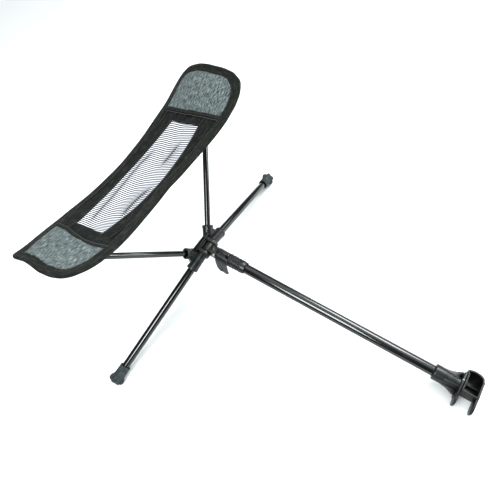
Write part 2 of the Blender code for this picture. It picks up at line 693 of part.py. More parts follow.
def main():
    """Build every piece, then stand the leg rest on the floor."""
    remove_everything()
    plastic = make_material("black_plastic", (0.030, 0.033, 0.033), 0.45)
    tube = make_material("black_anodised", (0.012, 0.013, 0.014), 0.22, 0.6)
    rubber = make_material("grey_rubber", (0.075, 0.080, 0.082), 0.75)
    fabric = make_material("dark_fabric", (0.035, 0.038, 0.035), 0.90)
    steel = make_material("bright_steel", (0.60, 0.61, 0.62), 0.30, 1.0)
    cord = make_material("elastic_cord", (0.05, 0.05, 0.05), 0.85)

    stance = make_empty("stance")
    knuckle_axis = make_empty("arm_pivot_axis", stance, (PIVOT_X, 0, 0))
    lever_axis = make_empty("lever_pin_axis", stance, (LEVER_X[0], 0, LEVER_PIN_Z))

    make_hub(stance, plastic)
    for side, label in ((-1, "left"), (1, "right")):
        leg = make_empty(f"leg_axis_{label}", stance, mirrored(LEG_ROOT, side))
        make_leg(side, label, leg, tube, rubber, cord)
        make_pole(side, label, stance, tube, plastic, steel)
        make_pocket(side, label, stance, fabric)
    make_sling(stance, fabric)
    make_pivot(stance, steel, plastic)
    make_knuckle(knuckle_axis, plastic, steel)
    make_inner_tube(stance, tube, plastic)
    outer = pipe(OUTER_RADIUS, OUTER_BORE, *OUTER_X)
    add_object("outer_tube", outer, tube, stance, along_x())
    pin = make_lock_collar(stance, plastic)
    add_object("lever_pin", pin, steel, stance, along_x(z=LEVER_PIN_Z))
    make_lever(lever_axis, plastic)
    make_clip(stance, plastic, steel)
    stand_on_floor(stance)


main()
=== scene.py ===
"""Looks of a clip-on folding leg rest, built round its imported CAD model.

Every piece is worked out in the arm's own frame (x along the arm towards the clip, y to
the right-hand leg, z square to both, origin in the hub) and then placed in the row frame.
Run it in Blender: blender --background --python scene.py
"""

from __future__ import annotations

import json
import logging
import math
from dataclasses import dataclass, field
from enum import Enum
from typing import Callable, Iterable, Sequence

import bmesh
import bpy
import numpy as np
from mathutils import Matrix

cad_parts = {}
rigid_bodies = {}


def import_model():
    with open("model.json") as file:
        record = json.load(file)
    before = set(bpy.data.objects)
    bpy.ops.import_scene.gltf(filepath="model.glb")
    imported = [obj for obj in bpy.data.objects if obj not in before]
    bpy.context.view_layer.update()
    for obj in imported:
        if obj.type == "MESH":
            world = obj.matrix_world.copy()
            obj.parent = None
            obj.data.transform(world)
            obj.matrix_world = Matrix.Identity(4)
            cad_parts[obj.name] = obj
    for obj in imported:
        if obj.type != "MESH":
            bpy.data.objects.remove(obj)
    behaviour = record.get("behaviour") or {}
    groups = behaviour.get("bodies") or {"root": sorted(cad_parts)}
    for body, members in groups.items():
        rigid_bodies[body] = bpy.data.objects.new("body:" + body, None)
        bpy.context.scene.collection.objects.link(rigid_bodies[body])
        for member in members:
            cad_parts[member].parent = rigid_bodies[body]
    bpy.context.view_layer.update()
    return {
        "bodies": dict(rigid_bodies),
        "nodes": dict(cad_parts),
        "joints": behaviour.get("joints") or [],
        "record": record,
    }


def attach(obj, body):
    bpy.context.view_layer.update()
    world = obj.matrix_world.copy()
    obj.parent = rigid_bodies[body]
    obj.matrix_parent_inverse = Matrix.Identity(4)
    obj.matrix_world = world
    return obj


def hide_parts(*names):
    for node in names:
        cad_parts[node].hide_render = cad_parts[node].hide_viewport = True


LOG = logging.getLogger("leg_rest")
Array = np.ndarray
PIVOT_X = 0.003
TUBE_PLAY = 0.0002
DISPLAY_GAMMA = 0.74
SKY_STRENGTH = 0.30
TAU = 2 * math.pi
COOL_WHITE = (0.96, 1.0, 1.0)


class Side(Enum):
    """A half of the leg rest; the value is the sign of y."""

    LEFT = -1
    RIGHT = 1

    @property
    def label(self) -> str:
        """The side's word in the names of pieces."""
        return self.name.lower()


# ---------------------------------------------------------------- numbers to shapes


def unit(vector: Sequence[float] | Array) -> Array:
    """The vector, or each row of an array of them, at length 1."""
    values = np.asarray(vector, float)
    return values / np.linalg.norm(values, axis=-1, keepdims=True)


def ramp(values: Array, low: float, high: float) -> Array:
    """A smooth step: 0 below low, 1 above high, 3t^2 - 2t^3 between."""
    t = np.clip((values - low) / (high - low), 0.0, 1.0)
    return t * t * (3.0 - 2.0 * t)


def filleted(corners: Array, radius: float | Sequence[float], steps: int = 5,
             closed: bool = False) -> Array:
    """Rounds the corners of a line of points.

    Each corner is swapped for a quadratic curve that leaves one edge and joins the next
    at the radius from the corner, or at 0.45 of a shorter edge.

    Args:
        corners: (n, d) points.
        radius: reach of the curve, one for all or one for each corner.
        steps: points in each curve, less one.
        closed: whether the last point joins the first.

    Returns:
        (m, d) points.
    """
    points = np.asarray(corners, float)
    before, after = np.roll(points, 1, axis=0), np.roll(points, -1, axis=0)
    reach = np.broadcast_to(np.asarray(radius, float), len(points))
    back, ahead = before - points, after - points
    back_length = np.linalg.norm(back, axis=1)
    ahead_length = np.linalg.norm(ahead, axis=1)
    start = points + back * (np.minimum(reach, 0.45 * back_length) / back_length)[:, None]
    stop = points + ahead * (np.minimum(reach, 0.45 * ahead_length) / ahead_length)[:, None]
    t = np.linspace(0.0, 1.0, steps + 1)[None, :, None]
    curves = (1 - t) ** 2 * start[:, None] + 2 * t * (1 - t) * points[:, None] + t * t * stop[:, None]
    if closed:
        return curves.reshape(-1, points.shape[1])
    middle = curves[1:-1].reshape(-1, points.shape[1])
    return np.concatenate([points[:1], middle, points[-1:]])


def resampled(points: Array, count: int, closed: bool = True) -> Array:
    """The same line with count points at equal distances along it."""
    line = np.concatenate([points, points[:1]]) if closed else points
    length = np.concatenate([[0.0], np.cumsum(np.linalg.norm(np.diff(line, axis=0), axis=1))])
    wanted = np.linspace(0.0, length[-1], count + 1 if closed else count)
    wanted = wanted[:-1] if closed else wanted
    return np.stack([np.interp(wanted, length, line[:, i]) for i in range(line.shape[1])], axis=1)


def softened(points: Array, passes: int) -> Array:
    """A closed line evened out: each pass moves a point to a quarter, half, quarter average."""
    for _ in range(passes):
        points = 0.25 * np.roll(points, 1, axis=0) + 0.5 * points + 0.25 * np.roll(points, -1, axis=0)
    return points


@dataclass
class Patch:
    """Points with faces and, for cloth, two UV maps: metres, and distance to a crease."""

    points: Array
    quads: Array
    caps: list[list[int]] = field(default_factory=list)
    uv: Array | None = None
    mark: Array | None = None

    def turned(self, axes: Array, origin: Array) -> Patch:
        """The patch with its x, y, z along the rows of axes, from origin."""
        return Patch(self.points @ axes + origin, self.quads, self.caps, self.uv, self.mark)


def grid_patch(points: Array, wrap_rows: bool = False, wrap_columns: bool = False,
               uv: Array | None = None, mark: Array | None = None) -> Patch:
    """Joins an (n, m, 3) grid of points by quads, round the ends where it wraps."""
    rows, columns = points.shape[:2]
    i = np.arange(rows if wrap_rows else rows - 1)[:, None]
    j = np.arange(columns if wrap_columns else columns - 1)[None, :]
    following_i, following_j = (i + 1) % rows, (j + 1) % columns
    quads = np.stack([i * columns + j, following_i * columns + j,
                      following_i * columns + following_j, i * columns + following_j], axis=-1)
    return Patch(points.reshape(-1, 3), quads.reshape(-1, 4), [],
                 None if uv is None else uv.reshape(-1, 2),
                 None if mark is None else mark.reshape(-1, 2))


def turned_patch(profile: Array, segments: int = 72,
                 swell: Callable[[Array, Array], Array] | None = None) -> Patch:
    """Revolves (radius, height) points about z.

    radius(angle, height) is the profile's radius times 1 + swell(angle, height).

    Args:
        profile: (n, 2) points; radius 0 closes an end, and a ring closes on itself.
        segments: points round the axis.
        swell: optional change of radius over angle and height.

    Returns:
        The closed surface.
    """
    angle = np.linspace(0.0, TAU, segments, endpoint=False)[:, None]
    radius, height = profile[None, :, 0], profile[None, :, 1] + 0 * angle
    if swell is not None:
        radius = radius * (1.0 + swell(angle + 0 * height, height))
    points = np.stack([radius * np.cos(angle), radius * np.sin(angle), height], axis=-1)
    return grid_patch(points, True, bool(profile[0, 0] > 0))


def tube_profile(outer: float, inner: float, start: float, end: float, edge: float = 0.0004) -> Array:
    """Closed section of a tube whose four rims are rounded off."""
    corners = np.array([[inner, start], [outer, start], [outer, end], [inner, end]])
    return filleted(corners, edge, 3, closed=True)


def solid_profile(corners: Sequence[tuple[float, float]], edge: float, steps: int = 4) -> Array:
    """Section of a turned solid, from axis to axis, with rounded corners."""
    return filleted(np.array(corners, float), edge, steps)


def signed_area(outline: Array) -> float:
    """Area inside a closed outline, positive where it runs anticlockwise: half the sum of cross products."""
    x, y = outline[:, 0], outline[:, 1]
    return float(0.5 * np.sum(x * np.roll(y, -1) - y * np.roll(x, -1)))


def slab_patch(outline: Array, low: float, high: float, edge: float) -> Patch:
    """A flat plate: an outline in x, y between two heights, with its rims rounded.

    The rim is a quarter ellipse: at angle a the outline moves in by edge (1 - cos a) and
    the height is short of the face by edge (1 - sin a).

    Args:
        outline: points of the plan, closed by itself.
        low: height of the lower face.
        high: height of the upper face.
        edge: how far the rims are rounded.

    Returns:
        The plate as one closed patch.
    """
    ahead = np.roll(outline, -1, axis=0) - np.roll(outline, 1, axis=0)
    area = signed_area(outline)
    outward = unit(np.stack([ahead[:, 1], -ahead[:, 0]], axis=1)) * np.sign(area)
    angle = np.linspace(0.0, math.pi / 2, 4)
    inset = edge * (1 - np.cos(angle))
    lift = edge * (1 - np.sin(angle))
    levels = [(shift, high - rise) for shift, rise in zip(inset[::-1], lift[::-1])]
    levels += [(shift, low + rise) for shift, rise in zip(inset, lift)]
    rings = [np.column_stack([outline - outward * shift, np.full(len(outline), height)])
             for shift, height in levels]
    patch = grid_patch(np.stack(rings), False, True)
    count = len(outline)
    last = (len(rings) - 1) * count
    patch.caps = [list(range(count)), list(range(last, last + count))]
    return patch


def box_patch(low: Sequence[float], high: Sequence[float], corner: float, edge: float) -> Patch:
    """A block with rounded upright corners and rounded rims."""
    outline = filleted(np.array([[low[0], low[1]], [high[0], low[1]], [high[0], high[1]],
                                 [low[0], high[1]]]), corner, 5, closed=True)
    return slab_patch(outline, low[2], high[2], edge)


def swept_patch(path: Array, across: Array, lift: Array, section: Array,
                closed: bool = True) -> Patch:
    """Carries a section along a path: point = path + across * section x + lift * section y."""
    points = (path[:, None] + across[:, None] * section[None, :, :1]
              + lift[:, None] * section[None, :, 1:])
    return grid_patch(points, closed, True)


def joined(patches: Iterable[Patch]) -> Patch:
    """Several patches as one."""
    points, quads, caps, uvs, marks, offset = [], [], [], [], [], 0
    for patch in patches:
        points.append(patch.points)
        quads.append(patch.quads + offset)
        caps += [[index + offset for index in cap] for cap in patch.caps]
        uvs.append(np.zeros((len(patch.points), 2)) if patch.uv is None else patch.uv)
        marks.append(np.zeros((len(patch.points), 2)) if patch.mark is None else patch.mark)
        offset += len(patch.points)
    return Patch(np.concatenate(points), np.concatenate(quads), caps,
                 np.concatenate(uvs), np.concatenate(marks))


@dataclass(frozen=True)
class ArmFrame:
    """The arm's axes in the row frame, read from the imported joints."""

    origin: Array
    axes: Array

    @classmethod
    def from_joints(cls, joints: Sequence[dict]) -> ArmFrame:
        """Finds the frame.

        Args:
            joints: the record's joints.

        Returns:
            x along the arm's slide, y along the arm's pivot, z square to both.
        """
        named = {joint["name"]: joint for joint in joints}
        along = unit(named["arm_extension"]["axis"])
        right = unit(named["arm_pivot"]["axis"])
        axes = np.array([along, right, np.cross(along, right)])
        return cls(np.array(named["arm_pivot"]["pos_m"]) - PIVOT_X * along, axes)

    def place(self, patch: Patch) -> Patch:
        """A patch of the arm's frame, in the row frame."""
        return patch.turned(self.axes, self.origin)

    def point(self, x: float, y: float, z: float) -> Array:
        """One point of the arm's frame, in the row frame."""
        return np.array([x, y, z]) @ self.axes + self.origin


@dataclass(frozen=True)
class Axis:
    """A line in the arm's frame with a sense of down; turned shapes run along it."""

    root: Array
    along: Array
    down: Array

    @classmethod
    def between(cls, start: Sequence[float], end: Sequence[float]) -> Axis:
        """The line from start to end, with down as near to -z as it can be."""
        return cls.towards(start, np.subtract(end, start))

    @classmethod
    def towards(cls, start: Sequence[float], direction: Sequence[float]) -> Axis:
        """The line from start along a direction."""
        along = unit(direction)
        down = np.array([0.0, 0.0, -1.0]) if abs(along[2]) < 0.99 else np.array([1.0, 0.0, 0.0])
        down = down - along * float(along @ down)
        return cls(np.asarray(start, float), along, unit(down))

    def lay(self, patch: Patch) -> Patch:
        """A patch whose z is this line and whose x is its down side, in the arm's frame."""
        return patch.turned(np.array([self.down, np.cross(self.along, self.down), self.along]), self.root)

    def at(self, distance: float) -> Array:
        """A point on the line."""
        return self.root + self.along * distance


ARM_AXIS = Axis.towards((0.0, 0.0, 0.0), (1.0, 0.0, 0.0))


# ---------------------------------------------------------------- pieces


@dataclass
class Bench:
    """Where pieces are finished: it knows the arm's frame and hides the CAD nodes that each piece stands for.
    """

    arm: ArmFrame
    made: int = 0

    def piece(self, name: str, patches: Iterable[Patch], finish: Finish, body: str,
              replaces: Sequence[str] = (), sharp: float = 35.0,
              thickness: float = 0.0) -> bpy.types.Object:
        """Makes one piece of the object.

        Args:
            name: name of the piece.
            patches: its shells, in the arm's frame.
            finish: what it is made of.
            body: the CAD body that it rides on.
            replaces: the CAD nodes that it stands for.
            sharp: angle in degrees past which an edge is drawn sharp.
            thickness: thickness that a sheet is given, downwards.

        Returns:
            The finished object, at the origin.
        """
        shape = self.arm.place(joined(patches))
        mesh = bpy.data.meshes.new(name)
        faces = shape.quads.tolist() + shape.caps
        mesh.from_pydata(shape.points.tolist(), [], faces)
        corner_points = np.empty(len(mesh.loops), np.int32)
        mesh.loops.foreach_get("vertex_index", corner_points)
        for title, values in (("cloth", shape.uv), ("crease", shape.mark)):
            layer = mesh.uv_layers.new(name=title)
            layer.data.foreach_set("uv", values[corner_points].astype(np.float32).ravel())
        self.sew(mesh, recalculate=thickness == 0.0)
        mesh.shade_smooth()
        mesh.set_sharp_from_angle(angle=math.radians(sharp))
        obj = bpy.data.objects.new(name, mesh)
        bpy.context.scene.collection.objects.link(obj)
        mesh.materials.append(finish.material())
        if thickness:
            solid = obj.modifiers.new("cloth_thickness", "SOLIDIFY")
            solid.thickness = thickness
            solid.offset = -1.0
        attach(obj, body)
        if replaces:
            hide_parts(*replaces)
        self.made += 1
        LOG.info("%s: %d faces on %s", name, len(mesh.polygons), body)
        return obj

    @staticmethod
    def sew(mesh: bpy.types.Mesh, recalculate: bool) -> None:
        """Closes seams and poles, and turns closed shells outwards."""
        work = bmesh.new()
        work.from_mesh(mesh)
        bmesh.ops.remove_doubles(work, verts=work.verts, dist=1e-6)
        if recalculate:
            bmesh.ops.recalc_face_normals(work, faces=work.faces)
        work.to_mesh(mesh)
        work.free()

    @staticmethod
    def dress(frame: dict, finish: Finish, nodes: Sequence[str]) -> None:
        """Gives carried-over CAD nodes their finish."""
        for name in nodes:
            obj = frame["nodes"][name]
            obj.data.materials.clear()
            obj.data.materials.append(finish.material())
            LOG.info("%s keeps its CAD shape", name)


# ---------------------------------------------------------------- shader maths


class Wire:
    """A shader value; Python's operators on it add Math nodes."""

    def __init__(self, recipe: Recipe, socket: bpy.types.NodeSocket) -> None:
        """Keeps the recipe that the value belongs to, and its socket."""
        self.recipe = recipe
        self.socket = socket

    def _math(self, operation: str, *values: Wire | float) -> Wire:
        """One Math node on the given values, in order."""
        node = self.recipe.node("ShaderNodeMath", {"operation": operation},
                                {index: value for index, value in enumerate(values)})
        return Wire(self.recipe, node.outputs[0])

    def __add__(self, other: Wire | float) -> Wire:
        """self + other."""
        return self._math("ADD", self, other)

    def __radd__(self, other: float) -> Wire:
        """other + self."""
        return self._math("ADD", other, self)

    def __sub__(self, other: Wire | float) -> Wire:
        """self - other."""
        return self._math("SUBTRACT", self, other)

    def __rsub__(self, other: float) -> Wire:
        """other - self."""
        return self._math("SUBTRACT", other, self)

    def __mul__(self, other: Wire | float) -> Wire:
        """self * other."""
        return self._math("MULTIPLY", self, other)

    def __rmul__(self, other: float) -> Wire:
        """other * self."""
        return self._math("MULTIPLY", other, self)

    def __truediv__(self, other: Wire | float) -> Wire:
        """self / other."""
        return self._math("DIVIDE", self, other)

    def __pow__(self, power: float) -> Wire:
        """self to a power."""
        return self._math("POWER", self, power)

    def sine(self) -> Wire:
        """The sine of the value, in radians."""
        return self._math("SINE", self)

    def size(self) -> Wire:
        """The value without its sign."""
        return self._math("ABSOLUTE", self)

    def fraction(self) -> Wire:
        """What is left past the whole number."""
        return self._math("FRACT", self)

    def whole(self) -> Wire:
        """The whole number below."""
        return self._math("FLOOR", self)

    def step(self, low: float, high: float) -> Wire:
        """A smooth step from 0 at low to 1 at high."""
        node = self.recipe.node("ShaderNodeMapRange", {"interpolation_type": "SMOOTHSTEP"},
                                {"Value": self, "From Min": low, "From Max": high})
        return Wire(self.recipe, node.outputs[0])


Colour = tuple[float, float, float]


class Recipe:
    """A material's nodes while they are being put together."""

    def __init__(self, name: str) -> None:
        """Starts a material of that name with its own shader."""
        self.data = bpy.data.materials.new(name)
        self.data.use_nodes = True
        self.tree = self.data.node_tree
        self.shader = self.tree.nodes["Principled BSDF"]

    def node(self, kind: str, settings: dict[str, object],
             inputs: dict[str | int, object]) -> bpy.types.Node:
        """Adds one node.

        Args:
            kind: the node's type.
            settings: its properties, set first.
            inputs: value or link for each socket, by name or number.

        Returns:
            The node.
        """
        node = self.tree.nodes.new(kind)
        for name, value in settings.items():
            setattr(node, name, value)
        for key, value in inputs.items():
            self.feed(node.inputs[key], value)
        return node

    def feed(self, socket: bpy.types.NodeSocket, value: object) -> None:
        """Links a wire to a socket, or sets its number or colour."""
        if isinstance(value, Wire):
            self.tree.links.new(value.socket, socket)
        elif isinstance(value, tuple) and len(value) == 3 and socket.type == "RGBA":
            socket.default_value = (*value, 1.0)
        else:
            socket.default_value = value

    def place(self) -> Wire:
        """Object coordinates, in metres."""
        return Wire(self, self.node("ShaderNodeTexCoord", {}, {}).outputs["Object"])

    def cloth(self, layer: str = "cloth") -> tuple[Wire, Wire]:
        """The cloth's own coordinates: metres along the sling and metres across it."""
        uv = self.node("ShaderNodeUVMap", {"uv_map": layer}, {})
        parts = self.node("ShaderNodeSeparateXYZ", {}, {0: Wire(self, uv.outputs[0])})
        return Wire(self, parts.outputs[0]), Wire(self, parts.outputs[1])

    def vector(self, x: Wire | float, y: Wire | float, z: Wire | float = 0.0) -> Wire:
        """Three values as a vector."""
        return Wire(self, self.node("ShaderNodeCombineXYZ", {}, {0: x, 1: y, 2: z}).outputs[0])

    def noise(self, place: Wire, scale: float, detail: float = 2.0,
              roughness: float = 0.5) -> Wire:
        """Cloudy noise from 0 to 1."""
        node = self.node("ShaderNodeTexNoise", {}, {"Vector": place, "Scale": scale,
                                                    "Detail": detail, "Roughness": roughness})
        return Wire(self, node.outputs[0])

    def mix(self, factor: Wire, first: Wire | Colour, second: Wire | Colour) -> Wire:
        """The first colour where factor is 0, the second where it is 1."""
        node = self.node("ShaderNodeMix", {"data_type": "RGBA"},
                         {"Factor": factor, 6: first, 7: second})
        return Wire(self, node.outputs[2])

    def relief(self, height: Wire, distance: float, strength: float = 1.0) -> None:
        """Bumps the surface; height 1 stands the distance proud."""
        node = self.node("ShaderNodeBump", {}, {"Height": height, "Distance": distance,
                                                "Strength": strength})
        self.feed(self.shader.inputs["Normal"], Wire(self, node.outputs[0]))

    def set(self, **values: object) -> None:
        """Sets or links the shader's sockets; an underscore stands for a space."""
        names = {socket.name.lower(): socket for socket in self.shader.inputs}
        for key, value in values.items():
            self.feed(names[key.replace("_", " ")], value)


@dataclass(frozen=True)
class Finish:
    """What a piece is made of."""

    name: str
    slot: str

    def material(self) -> bpy.types.Material:
        """The finish's material, made on first use."""
        found = bpy.data.materials.get(self.name)
        if found is not None:
            return found
        recipe = Recipe(self.name)
        self.mix(recipe)
        return recipe.data

    def mix(self, recipe: Recipe) -> None:
        """Puts the finish's nodes together."""
        raise NotImplementedError


@dataclass(frozen=True)
class GlossTube(Finish):
    """Black anodised tube: a deep gloss with fine scuffs."""

    colour: Colour = (0.0035, 0.0040, 0.0045)
    worn: Colour = (0.012, 0.013, 0.014)

    def mix(self, recipe: Recipe) -> None:
        """Scuffs come from two sizes of noise, the gloss is broken a little by fine noise."""
        place = recipe.place()
        cloud = recipe.noise(place, 38.0, 3.0)
        fine = recipe.noise(place, 900.0, 2.0)
        scuff = (cloud * 0.7 + fine * 0.3).step(0.52, 0.72)
        recipe.set(base_color=recipe.mix(scuff, self.colour, self.worn),
                   roughness=0.15 + scuff * 0.08, specular_ior_level=0.95, coat_weight=0.4,
                   coat_roughness=0.06)
        recipe.relief(fine, 0.00001, 0.15)


@dataclass(frozen=True)
class MouldedPlastic(Finish):
    """Glass-filled black plastic with a fine spark-eroded grain and paler rubbed patches."""

    colour: Colour = (0.0110, 0.0128, 0.0132)
    rubbed: Colour = (0.030, 0.035, 0.036)
    roughness: float = 0.32

    def mix(self, recipe: Recipe) -> None:
        """Grain is fine noise, rubbed patches are wide noise."""
        place = recipe.place()
        cloud = recipe.noise(place, 55.0, 3.0)
        grain = recipe.noise(place, 2600.0, 2.0, 0.6)
        patch = cloud.step(0.45, 0.75)
        recipe.set(base_color=recipe.mix(patch, self.colour, self.rubbed),
                   roughness=self.roughness - 0.06 + patch * 0.08 + grain * 0.10,
                   specular_ior_level=0.75)
        recipe.relief(grain, 0.00006, 0.5)


@dataclass(frozen=True)
class FootRubber(Finish):
    """Matt grey rubber with dust in its pores."""

    colour: Colour = (0.055, 0.064, 0.066)
    dusty: Colour = (0.115, 0.130, 0.132)

    def mix(self, recipe: Recipe) -> None:
        """Two sizes of noise make pores and dust."""
        place = recipe.place()
        dust = recipe.noise(place, 160.0, 4.0, 0.6)
        pores = recipe.noise(place, 1500.0, 3.0, 0.7)
        recipe.set(base_color=recipe.mix(dust.step(0.40, 0.80), self.colour, self.dusty),
                   roughness=0.62 + dust * 0.22, specular_ior_level=0.35)
        recipe.relief(pores * 0.6 + dust * 0.4, 0.00012, 0.6)


@dataclass(frozen=True)
class BrightSteel(Finish):
    """Zinc-plated steel with a few dull spots."""

    colour: Colour = (0.56, 0.57, 0.58)
    dull: Colour = (0.34, 0.35, 0.36)

    def mix(self, recipe: Recipe) -> None:
        """A few dull spots."""
        place = recipe.place()
        spots = recipe.noise(place, 600.0, 3.0)
        recipe.set(base_color=recipe.mix(spots.step(0.5, 0.8), self.colour, self.dull),
                   metallic=1.0, roughness=0.22 + spots * 0.18)
        recipe.relief(spots, 0.00002, 0.4)


@dataclass(frozen=True)
class ElasticCord(Finish):
    """Braided sheath of an elastic cord."""

    colour: Colour = (0.025, 0.026, 0.028)
    fleck: Colour = (0.16, 0.16, 0.17)

    def mix(self, recipe: Recipe) -> None:
        """A braid of two crossing waves, with pale flecks."""
        place = recipe.place()
        parts = recipe.node("ShaderNodeSeparateXYZ", {}, {0: place})
        x, z = Wire(recipe, parts.outputs[0]), Wire(recipe, parts.outputs[2])
        braid = ((x + z) * 4200.0).sine() * ((x - z) * 4200.0).sine()
        recipe.set(base_color=recipe.mix(braid.step(0.55, 0.95), self.colour, self.fleck),
                   roughness=0.8)
        recipe.relief(braid, 0.0001, 0.6)


class Weave(Enum):
    """How threads cross: threads per metre along and across, and the depth of a crossing."""

    OXFORD = (1500.0, 1500.0, 0.00018)
    TAPE = (700.0, 1900.0, 0.00022)
    HEATHER = (1350.0, 1700.0, 0.00016)


def weave_height(recipe: Recipe, weave: Weave) -> Wire:
    """Plain weave: warp shows where both counts are even or both odd, weft elsewhere."""
    along, across = recipe.cloth()
    warp, weft, _ = weave.value
    u, v = along * warp, across * weft
    over = ((u.whole() + v.whole()) * 0.5).fraction() * 2.0
    across_thread = ((v.fraction() - 0.5).size() * -2.0 + 1.0)
    along_thread = ((u.fraction() - 0.5).size() * -2.0 + 1.0)
    return over * across_thread + (1.0 - over) * along_thread


@dataclass(frozen=True)
class DarkCloth(Finish):
    """Near-black polyester, slightly olive, with lint, a faint sheen of the threads, and a painted highlight
    on their crowns.
    """

    weave: Weave = Weave.OXFORD
    colour: Colour = (0.0050, 0.0066, 0.0062)
    # thread: the painted highlight on the threads' crowns.
    thread: Colour = (0.017, 0.022, 0.021)
    lint: Colour = (0.080, 0.080, 0.066)

    def mix(self, recipe: Recipe) -> None:
        """Threads have a painted highlight on their crowns; lint lies in wide, faint patches."""
        along, across = recipe.cloth()
        height = weave_height(recipe, self.weave)
        flat = recipe.vector(along, across)
        cloud = recipe.noise(flat, 85.0, 5.0, 0.72)
        streak = recipe.noise(recipe.vector(along * 0.12, across), 420.0, 3.0, 0.6)
        lint = cloud.step(0.50, 0.70) * 0.50 + streak.step(0.50, 0.62) * 0.60
        # Painted highlight: the crowns of the weave are paler than its hollows.
        woven = recipe.mix(height.step(0.15, 0.95), self.colour, self.thread)
        recipe.set(base_color=recipe.mix(lint * 0.75, woven, self.lint), roughness=0.78,
                   sheen_weight=0.06, sheen_roughness=0.5, specular_ior_level=0.22)
        recipe.relief(height, self.weave.value[2], 0.8)


@dataclass(frozen=True)
class HeatherCloth(Finish):
    """Blue-grey heather cloth: pale and dark slubs run along the sling."""

    dark: Colour = (0.066, 0.082, 0.086)
    middle: Colour = (0.170, 0.196, 0.198)
    pale: Colour = (0.390, 0.425, 0.420)

    def mix(self, recipe: Recipe) -> None:
        """Slubs are noise stretched along the sling, in two widths; painted shade darkens the low parts of
        the weave.
        """
        along, across = recipe.cloth()
        height = weave_height(recipe, Weave.HEATHER)
        slub = recipe.noise(recipe.vector(along * 0.13, across), 760.0, 3.0, 0.62)
        cross = recipe.noise(recipe.vector(along, across * 0.30), 560.0, 2.0, 0.6)
        cloud = recipe.noise(recipe.vector(along, across), 40.0, 2.0)
        tone = slub * 0.74 + cross * 0.24 + cloud * 0.02
        base = recipe.mix(tone.step(0.42, 0.51), self.dark, self.middle)
        shade = recipe.mix(tone.step(0.51, 0.61), base, self.pale)
        # Painted shade: where the weave is low, between the threads, the colour is drawn towards the dark
        # tone.
        recipe.set(base_color=recipe.mix(height.step(0.5, 0.0) * 0.35, shade, self.dark),
                   roughness=0.82, sheen_weight=0.05, sheen_roughness=0.5,
                   specular_ior_level=0.22)
        recipe.relief(height * 0.6 + slub * 0.4, 0.00022, 0.8)


@dataclass(frozen=True)
class StripedMesh(Finish):
    """Open sports mesh: pale ribs across the sling with grey gaps and a fine ladder in each, and painted
    shade along its creases.
    """

    pale: Colour = (0.84, 0.84, 0.87)
    shade: Colour = (0.55, 0.55, 0.60)
    gap: Colour = (0.020, 0.020, 0.026)
    # crease: colour of the painted shadow line and painted shade along the mesh's creases.
    crease: Colour = (0.030, 0.032, 0.036)
    pitch: float = 0.0042

    def mix(self, recipe: Recipe) -> None:
        """A triangle wave along the sling makes ribs; a finer one across makes the ladder. Painted shade
        darkens a thin line at each crease and, more faintly, 10 mm either side of it.

        Args:
            recipe: the material that is being made.
        """
        along, across = recipe.cloth()
        rib = ((along / self.pitch).fraction() - 0.5).size() * 2.0
        ladder = ((across * 620.0).fraction() - 0.5).size() * 2.0
        open_gap = rib.step(0.44, 0.60)
        thread = recipe.mix(ladder.step(0.60, 0.95) * 0.35, self.pale, self.shade)
        hole = recipe.mix(ladder.step(0.45, 0.90) * 0.12, self.gap, self.shade)
        striped = recipe.mix(open_gap, thread, hole)
        # Painted shade from the crease layer: a thin painted shadow line in each fold, and a faint painted
        # shade 10 mm either side.
        away, strength = recipe.cloth("crease")
        thin = (1.0 - (away + 0.4).size().step(0.4, 1.5)) * strength * 0.62
        wide = (1.0 - away.size().step(0.0, 10.0)) * strength * 0.26
        shaded = recipe.mix(wide, striped, self.crease)
        recipe.set(base_color=recipe.mix(thin, shaded, self.crease), roughness=0.60,
                   specular_ior_level=0.30)
        recipe.relief((1.0 - open_gap) * 0.8 + ladder * 0.2, 0.0006, 0.7)


@dataclass(frozen=True)
class SewingThread(Finish):
    """Twisted sewing thread."""

    colour: Colour = (0.16, 0.17, 0.165)
    shade: Colour = (0.06, 0.065, 0.062)

    def mix(self, recipe: Recipe) -> None:
        """Fine noise breaks up the twist."""
        twist = recipe.noise(recipe.place(), 4200.0, 1.0)
        recipe.set(base_color=recipe.mix(twist, self.shade, self.colour), roughness=0.6)
        recipe.relief(twist, 0.0001, 0.5)


@dataclass(frozen=True)
class StudioFloor(Finish):
    """Plain pale floor."""

    colour: Colour = (0.93, 0.93, 0.93)

    def mix(self, recipe: Recipe) -> None:
        """A flat pale colour with hardly any gloss."""
        recipe.set(base_color=self.colour, roughness=0.9, specular_ior_level=0.1)


TUBE = GlossTube("gloss_black_tube", "black_anodised")
PLASTIC = MouldedPlastic("moulded_plastic", "black_plastic")
CLIP_PLASTIC = MouldedPlastic("clip_plastic", "black_plastic", (0.0035, 0.0038, 0.0038),
                              (0.009, 0.010, 0.010), 0.34)
RUBBER = FootRubber("foot_rubber", "grey_rubber")
STEEL = BrightSteel("bright_steel", "bright_steel")
DULL_STEEL = BrightSteel("dull_steel", "bright_steel", (0.20, 0.205, 0.21), (0.11, 0.11, 0.115))
BLACK_STEEL = BrightSteel("blackened_steel", "bright_steel", (0.045, 0.046, 0.048), (0.020, 0.020, 0.021))
NECK = MouldedPlastic("neck_plastic", "black_plastic", (0.021, 0.019, 0.014), (0.046, 0.042, 0.032), 0.38)
CORD = ElasticCord("elastic_cord", "elastic_cord")
OXFORD = DarkCloth("dark_oxford", "dark_fabric")
# The tape's second colour is the painted highlight on its threads' crowns.
TAPE = DarkCloth("binding_tape", "dark_fabric", Weave.TAPE, (0.010, 0.012, 0.010), (0.030, 0.034, 0.030))
HEATHER = HeatherCloth("heather_cloth", "dark_fabric")
MESH = StripedMesh("striped_mesh", "dark_fabric")
THREAD = SewingThread("sewing_thread", "dark_fabric")
FLOOR = StudioFloor("studio_floor", "")


# ---------------------------------------------------------------- the frame's hard parts


